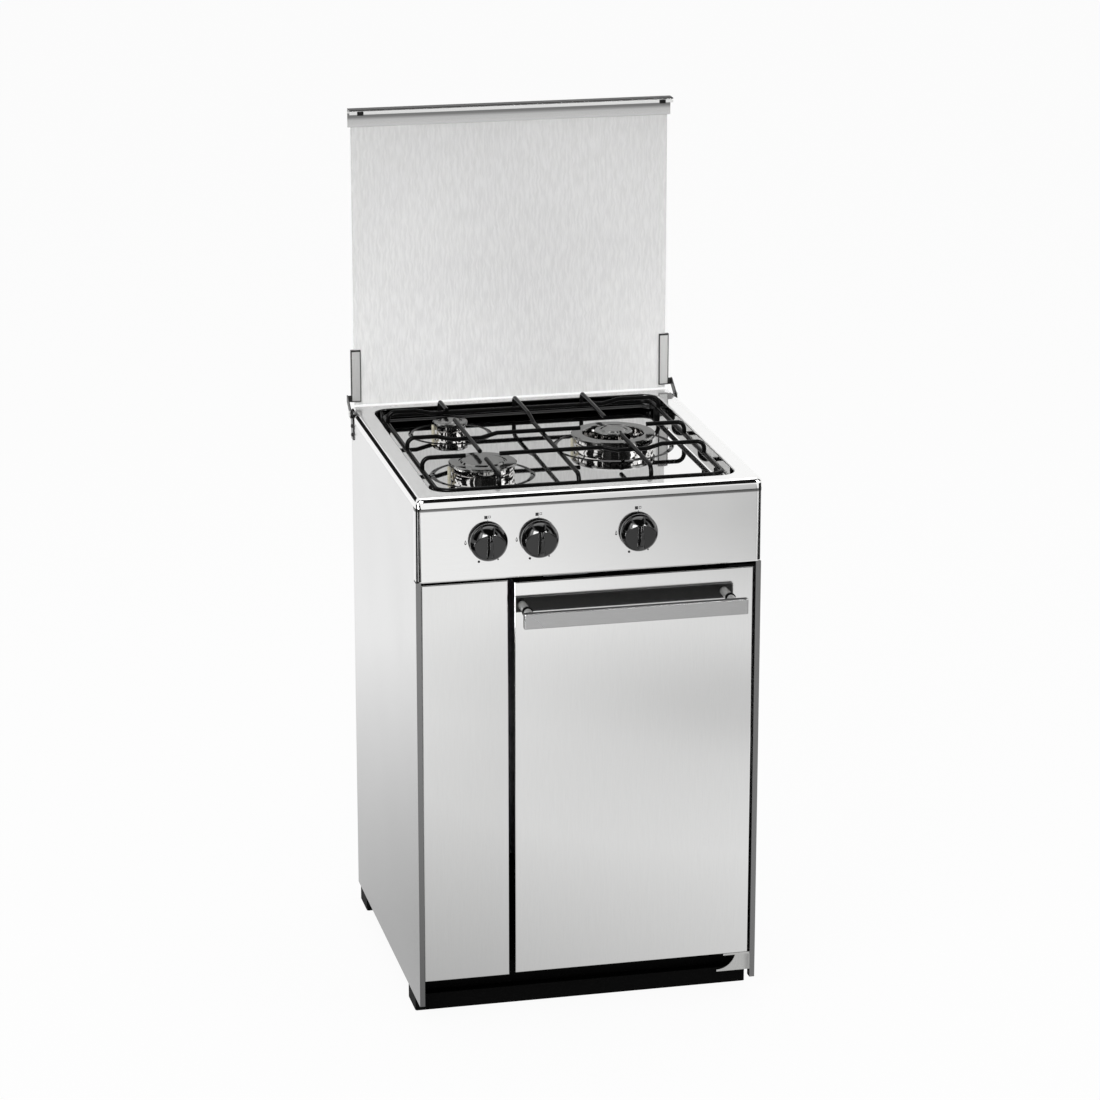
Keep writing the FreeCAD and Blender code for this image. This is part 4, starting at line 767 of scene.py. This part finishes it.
def buildMarks():
    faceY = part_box("control_panel")[0].y
    build = bmesh.new()
    for burner in burners:
        low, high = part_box(burner + "_knob")
        x = (low.x + high.x) / 2
        z = (low.z + high.z) / 2
        filledX = x - marks["offSide"] / 2
        openX = x + marks["offSide"] / 2
        offZ = z + marks["offUp"]
        openZ = offZ + marks["openUp"]
        plateOf(build, square(filledX, offZ, marks["filledHalf"]), faceY)
        ringOf(build, square(openX, openZ, marks["openHalf"]), square(openX, openZ, marks["openHole"]), faceY)
        lineLow, lineHigh = [z + end for end in marks["line"]]
        lineLeft = x - marks["lineHalf"]
        lineRight = x + marks["lineHalf"]
        plateOf(build, [(lineLeft, lineLow), (lineRight, lineLow), (lineRight, lineHigh),
                        (lineLeft, lineHigh)], faceY)
        flameX = x - marks["flameOut"]
        ringOf(build, flame(flameX, z, marks["flameTall"]),
               flame(flameX, z - marks["flameDrop"], marks["flameTall"] * marks["flameHole"]), faceY)
        for angle, out, radius in marks["dots"]:
            dotX = x + out * math.cos(math.radians(angle))
            dotZ = z + out * math.sin(math.radians(angle))
            plateOf(build, [(dotX + radius * across, dotZ + radius * upward)
                            for across, upward in around(marks["dotSteps"])], faceY)
    bmesh.ops.recalc_face_normals(build, faces=build.faces)
    addPiece("knobMarks", meshFrom(build, "knobMarks"), "cabinet", "markInk")


buildMarks()
print("marks printed")

# Pan-head screw with a cross slot, one unit wide at the head's rim
screwShape = {"profile": [(1.0, 0.0), (1.0, 0.18), (0.86, 0.44), (0.55, 0.60)], "turns": 24, "slotHalf": 0.12,
              "slotReach": 0.5, "slotDepth": 0.3, "slotTaper": 0.8}


def screwHead():
    build = bmesh.new()
    circle = around(screwShape["turns"])
    loops = [[build.verts.new((size * across, size * upward, high)) for across, upward in circle]
             for size, high in screwShape["profile"]]
    for lower, upper in zip(loops, loops[1:]):
        wallBetween(build, lower, upper)
    half = screwShape["slotHalf"]
    reach = screwShape["slotReach"]
    taper = screwShape["slotTaper"]
    top = screwShape["profile"][-1][1]
    cross = [(reach, -half), (reach, half), (half, half), (half, reach), (-half, reach), (-half, half),
             (-reach, half), (-reach, -half), (-half, -half), (-half, -reach), (half, -reach), (half, -half)]
    rim = [build.verts.new((x, y, top)) for x, y in cross]
    pit = [build.verts.new((x * taper, y * taper, top - screwShape["slotDepth"])) for x, y in cross]
    wallBetween(build, rim, pit)
    build.faces.new(pit)
    openEdges = [build.edges.get(pair) for loop in (loops[-1], rim) for pair in pairs(loop)]
    bmesh.ops.triangle_fill(build, edges=openEdges, use_beauty=True)
    build.faces.new(loops[0][::-1])
    bmesh.ops.recalc_face_normals(build, faces=build.faces)
    return build


screwSets = {"backInset": 0.014, "backEnd": 0.03, "backRows": 5, "backSize": 0.0038, "hingeSize": 0.003,
             "hingeSpots": [(0.007, 0.007), (0.0085, 0.020)]}


def buildScrews():
    low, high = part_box("back_panel")
    first = low.z + screwSets["backEnd"]
    length = high.z - low.z - 2 * screwSets["backEnd"]
    rows = screwSets["backRows"]
    backSpots = [(x, high.y, first + length * row / (rows - 1)) for row in range(rows)
                 for x in (low.x + screwSets["backInset"], high.x - screwSets["backInset"])]
    addCopies("backScrews", screwHead(), backSpots, "cabinet", "postSteel", (0, 1, 0),
              screwSets["backSize"])
    for side, way in (("left", -1), ("right", 1)):
        low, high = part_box(side + "_hinge_bracket")
        outer = low.x if way < 0 else high.x
        hingeSpots = [(outer, low.y + back, low.z + up) for back, up in screwSets["hingeSpots"]]
        addCopies(side + "HingeScrews", screwHead(), hingeSpots, "cabinet", "hingeSteel",
                  (way, 0, 0), screwSets["hingeSize"])


buildScrews()
print("screws set")

# Pressed hoods over the vents in the back, open at the bottom
hoods = {"length": 0.090, "pitch": 0.022, "rows": 6, "lowFirst": 0.103, "highFirst": 0.507,
         "sheet": 0.0008, "over": 0.001, "cheekDrop": 0.0006,
         "outer": [(0.0, 0.0078), (0.0022, 0.0072), (0.0042, 0.0050), (0.0050, 0.0020), (0.0052, -0.0024)],
         "inner": [(0.0044, -0.0024), (0.0042, 0.0018), (0.0035, 0.0044), (0.0018, 0.0064), (0.0, 0.0068)]}


def buildHoods():
    build = bmesh.new()
    left = -hoods["over"]
    right = hoods["length"] + hoods["over"]
    strip = hoods["outer"] + hoods["inner"]
    cheek = hoods["outer"] + [(0.0, -hoods["cheekDrop"])]
    for start, end, profile in ((left, right, strip), (left - hoods["sheet"], left, cheek),
                                (right, right + hoods["sheet"], cheek)):
        prism(build, [(start, y, z) for y, z in profile], [(end, y, z) for y, z in profile])
    bmesh.ops.recalc_face_normals(build, faces=build.faces)
    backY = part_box("back_panel")[1].y
    spots = [(x, backY, first + row * hoods["pitch"]) for first in (hoods["lowFirst"], hoods["highFirst"])
             for row in range(hoods["rows"]) for x in (-hoods["length"] - hoods["pitch"], hoods["pitch"])]
    addCopies("ventHoods", build, spots, "cabinet", "zincSheet")


buildHoods()
print("vent hoods pressed")

# Dark washers where the handle posts meet the door
collars = {"radius": 0.0076, "start": 0.032, "length": 0.003, "edge": 0.0006, "play": 0.00005, "turns": 40}


def buildCollars():
    low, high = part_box("handle_posts")
    postRadius = (high.z - low.z) / 2
    inner = postRadius + collars["play"]
    outer = collars["radius"]
    edge = collars["edge"]
    length = collars["length"]
    profile = [(inner, 0), (outer - edge, 0), (outer, edge), (outer, length - edge), (outer - edge, length),
               (inner, length)]
    build = bmesh.new()
    loops = [[build.verts.new((size * across, along, size * upward))
              for across, upward in around(collars["turns"])] for size, along in profile]
    for loop, following in pairs(loops):
        wallBetween(build, loop, following)
    bmesh.ops.recalc_face_normals(build, faces=build.faces)
    for face in build.faces:
        face.smooth = True
    spots = [(x, low.y + collars["start"], (low.z + high.z) / 2)
             for x in (low.x + postRadius, high.x - postRadius)]
    addCopies("postCollars", build, spots, "door", "satinBlack")


buildCollars()
print("collars fitted")

# Studio: pale floor, soft lamps, white surround, and painted reflections for the metal to mirror: dark cloth
# and bright glint cards
studio = {"floorSize": 44.0, "floorColour": (0.82, 0.82, 0.82), "floorWhite": 0.94, "ambient": 0.55,
          "dark": (0.02, 0.02, 0.02), "folds": (1, 1, 0.05), "foldScale": 3, "foldDark": 0.5,
          "paintedFloorShadows": [((-0.6, -0.05, 0), 0.42, 0.2, 1.6), ((1.3, -2.7, 0), 0.30, 0.1, 1.0),
                   ((0.6, -1.5, 0), 0.66, 0.1, 0.75)],
          "cards": [[(-6.0, -8.0, 1.6), (7.0, -8.0, 1.6), (7.0, -8.0, 14.0), (-6.0, -8.0, 14.0)],
                    [(-4.0, -2.4, 0.004), (-1.0, -2.4, 0.004), (-1.0, 0.9, 0.004), (-4.0, 0.9, 0.004)],
                    [(1.35, -1.7, 0.004), (4.0, -1.7, 0.004), (4.0, 0.9, 0.004), (1.35, 0.9, 0.004)],
                    [(-6.0, 5.0, 0.35), (-0.9, 5.0, 0.35), (-0.9, 5.0, 3.0), (-6.0, 5.0, 3.0)],
                    [(-6.0, -8.0, 14.0), (7.0, -8.0, 14.0), (7.0, 0.0, 14.0), (-6.0, 0.0, 14.0)],
                    [(-8.0, -8.0, 1.6), (-8.0, -4.6, 1.6), (-8.0, -4.6, 14.0), (-8.0, -8.0, 14.0)],
                    [(-8.0, -2.6, 1.6), (-8.0, 1.0, 1.6), (-8.0, 1.0, 14.0), (-8.0, -2.6, 14.0)],
                    [(9.0, -8.0, 1.6), (9.0, -4.0, 1.6), (9.0, -4.0, 14.0), (9.0, -8.0, 14.0)],
                    [(9.0, -2.0, 1.6), (9.0, 2.0, 1.6), (9.0, 2.0, 14.0), (9.0, -2.0, 14.0)]],
          "glints": [((-1.5, -2.6, 2.4), 1.5, 2.0), ((1.7, -2.4, 2.2), 0.5, 1.6),
                     ((-1.9, -0.7, 0.2), 0.3, 0.5)],
          "glint": 20.0, "glintDepth": (1.4, 1.6), "aim": (0.0, -0.2, 0.75),
          "lamps": [("keyLamp", (-2.6, -2.6, 3.4), (0, 0, 0.6), 2.6, 60),
                    ("fillLamp", (3.2, -2.4, 2.0), (0, 0, 0.5), 2.6, 22),
                    ("topLamp", (0.2, 0.6, 3.6), (0, 0, 0.7), 2.4, 30)]}


# One for rays that see the surround: from the camera, or by way of metal or glass
def seenRays(tree):
    path = tree.nodes.new("ShaderNodeLightPath")
    seen = maths(tree, "MAXIMUM", path.outputs["Is Camera Ray"], path.outputs["Is Glossy Ray"])
    return maths(tree, "MAXIMUM", seen, path.outputs["Is Transmission Ray"])


# Cards that show only in polished metal and gloss
def onlyShine(name, corners, finish):
    points = []
    for card in corners:
        points += card
    mesh = bpy.data.meshes.new(name)
    mesh.from_pydata(points, [], [tuple(range(first, first + 4)) for first in range(0, len(points), 4)])
    mesh.materials.append(finish)
    cards = bpy.data.objects.new(name, mesh)
    bpy.context.scene.collection.objects.link(cards)
    cards.visible_camera = False
    cards.visible_diffuse = False
    cards.visible_shadow = False


# Painted dark reflections: dark cloth in front, overhead, at both sides, on the floor and far behind, seen
# only in metal and gloss
def buildDark():
    finish, tree, shader = newFinish("paintedReflectionDark")
    folds = noise(tree, pointOn(tree, studio["folds"]), studio["foldScale"], 2)
    tones = twoTones(tree, folds, shade(studio["dark"], studio["foldDark"]), studio["dark"])
    tree.links.new(tones, shader.inputs["Base Color"])
    shader.inputs["Roughness"].default_value = 1.0
    shader.inputs["Specular IOR Level"].default_value = 0.0
    onlyShine("darkCards", studio["cards"], finish)


# Painted highlights: glowing cards for the streaks on the knobs, seen in metal and gloss at the first bounce
# only
def buildGlints():
    finish, tree, shader = newFinish("paintedGlint")
    shader.inputs["Base Color"].default_value = (0, 0, 0, 1)
    shader.inputs["Emission Color"].default_value = (1, 1, 1, 1)
    path = tree.nodes.new("ShaderNodeLightPath")
    tree.links.new(span(tree, path.outputs["Ray Depth"], studio["glint"], 0.0, *studio["glintDepth"]),
                   shader.inputs["Emission Strength"])
    corners = []
    for place, wide, tall in studio["glints"]:
        middle = Vector(place)
        toward = (Vector(studio["aim"]) - middle).normalized()
        across = toward.cross(Vector((0, 0, 1))).normalized() * wide / 2
        upward = across.cross(toward).normalized() * tall / 2
        corners.append([middle + across * sideways + upward * rising
                        for sideways, rising in ((-1, -1), (1, -1), (1, 1), (-1, 1))])
    onlyShine("brightWindows", corners, finish)


# White to the camera; in what the metal mirrors, painted shadow makes it greyer round given spots
def buildFloor():
    half = studio["floorSize"] / 2
    mesh = bpy.data.meshes.new("studioFloor")
    mesh.from_pydata([(-half, -half, 0), (half, -half, 0), (half, half, 0), (-half, half, 0)], [],
                     [(0, 1, 2, 3)])
    floor = bpy.data.objects.new("studioFloor", mesh)
    bpy.context.scene.collection.objects.link(floor)
    finish = bpy.data.materials.new("paleFloor")
    finish.use_nodes = True
    tree = finish.node_tree
    tree.nodes.clear()
    matte = tree.nodes.new("ShaderNodeBsdfDiffuse")
    matte.inputs["Color"].default_value = (*studio["floorColour"], 1)
    white = tree.nodes.new("ShaderNodeEmission")
    white.inputs["Color"].default_value = (1, 1, 1, 1)
    # Painted shadow, seen only in metal and gloss
    shades = [span(tree, vectors(tree, "DISTANCE", pointOn(tree), centre), dark, 1.0, near, far)
              for centre, dark, near, far in studio["paintedFloorShadows"]]
    path = tree.nodes.new("ShaderNodeLightPath")
    mirrored = span(tree, path.outputs["Is Glossy Ray"], 1.0, product(tree, shades), 0.0, 1.0)
    tree.links.new(mirrored, white.inputs["Strength"])
    blend = tree.nodes.new("ShaderNodeMixShader")
    out = tree.nodes.new("ShaderNodeOutputMaterial")
    tree.links.new(maths(tree, "MULTIPLY", seenRays(tree), studio["floorWhite"]), blend.inputs["Fac"])
    tree.links.new(matte.outputs["BSDF"], blend.inputs[1])
    tree.links.new(white.outputs["Emission"], blend.inputs[2])
    tree.links.new(blend.outputs["Shader"], out.inputs["Surface"])
    mesh.materials.append(finish)


def buildLamps():
    for name, place, target, size, power in studio["lamps"]:
        data = bpy.data.lights.new(name, "AREA")
        data.shape = "SQUARE"
        data.size = size
        data.energy = power
        lamp = bpy.data.objects.new(name, data)
        bpy.context.scene.collection.objects.link(lamp)
        lamp.location = place
        lamp.rotation_euler = (Vector(target) - Vector(place)).to_track_quat("-Z", "Y").to_euler()


def buildSurround():
    world = bpy.data.worlds.new("paleSurround")
    bpy.context.scene.world = world
    world.use_nodes = True
    tree = world.node_tree
    tree.nodes.clear()
    dim = tree.nodes.new("ShaderNodeBackground")
    dim.inputs["Strength"].default_value = studio["ambient"]
    white = tree.nodes.new("ShaderNodeBackground")
    white.inputs["Strength"].default_value = 1.0
    for shader in (dim, white):
        shader.inputs["Color"].default_value = (1, 1, 1, 1)
    blend = tree.nodes.new("ShaderNodeMixShader")
    out = tree.nodes.new("ShaderNodeOutputWorld")
    tree.links.new(seenRays(tree), blend.inputs["Fac"])
    tree.links.new(dim.outputs["Background"], blend.inputs[1])
    tree.links.new(white.outputs["Background"], blend.inputs[2])
    tree.links.new(blend.outputs["Shader"], out.inputs["Surface"])


# Camera at the photograph's place
view = {"place": (-1.2001, -5.1953, 2.2322), "turn": 12.973, "down": 16.759, "lens": 124.11, "sensor": 36.0,
        "farthest": 60}


def buildCamera():
    data = bpy.data.cameras.new("photoCamera")
    data.sensor_width = view["sensor"]
    data.lens = view["lens"]
    data.clip_end = view["farthest"]
    camera = bpy.data.objects.new("photoCamera", data)
    bpy.context.scene.collection.objects.link(camera)
    camera.location = view["place"]
    camera.rotation_euler = (math.radians(90 - view["down"]), 0, -math.radians(view["turn"]))
    bpy.context.scene.camera = camera


buildFloor()
buildDark()
buildGlints()
buildLamps()
buildSurround()
buildCamera()
bpy.context.scene.view_settings.view_transform = "Standard"
print("studio lit")
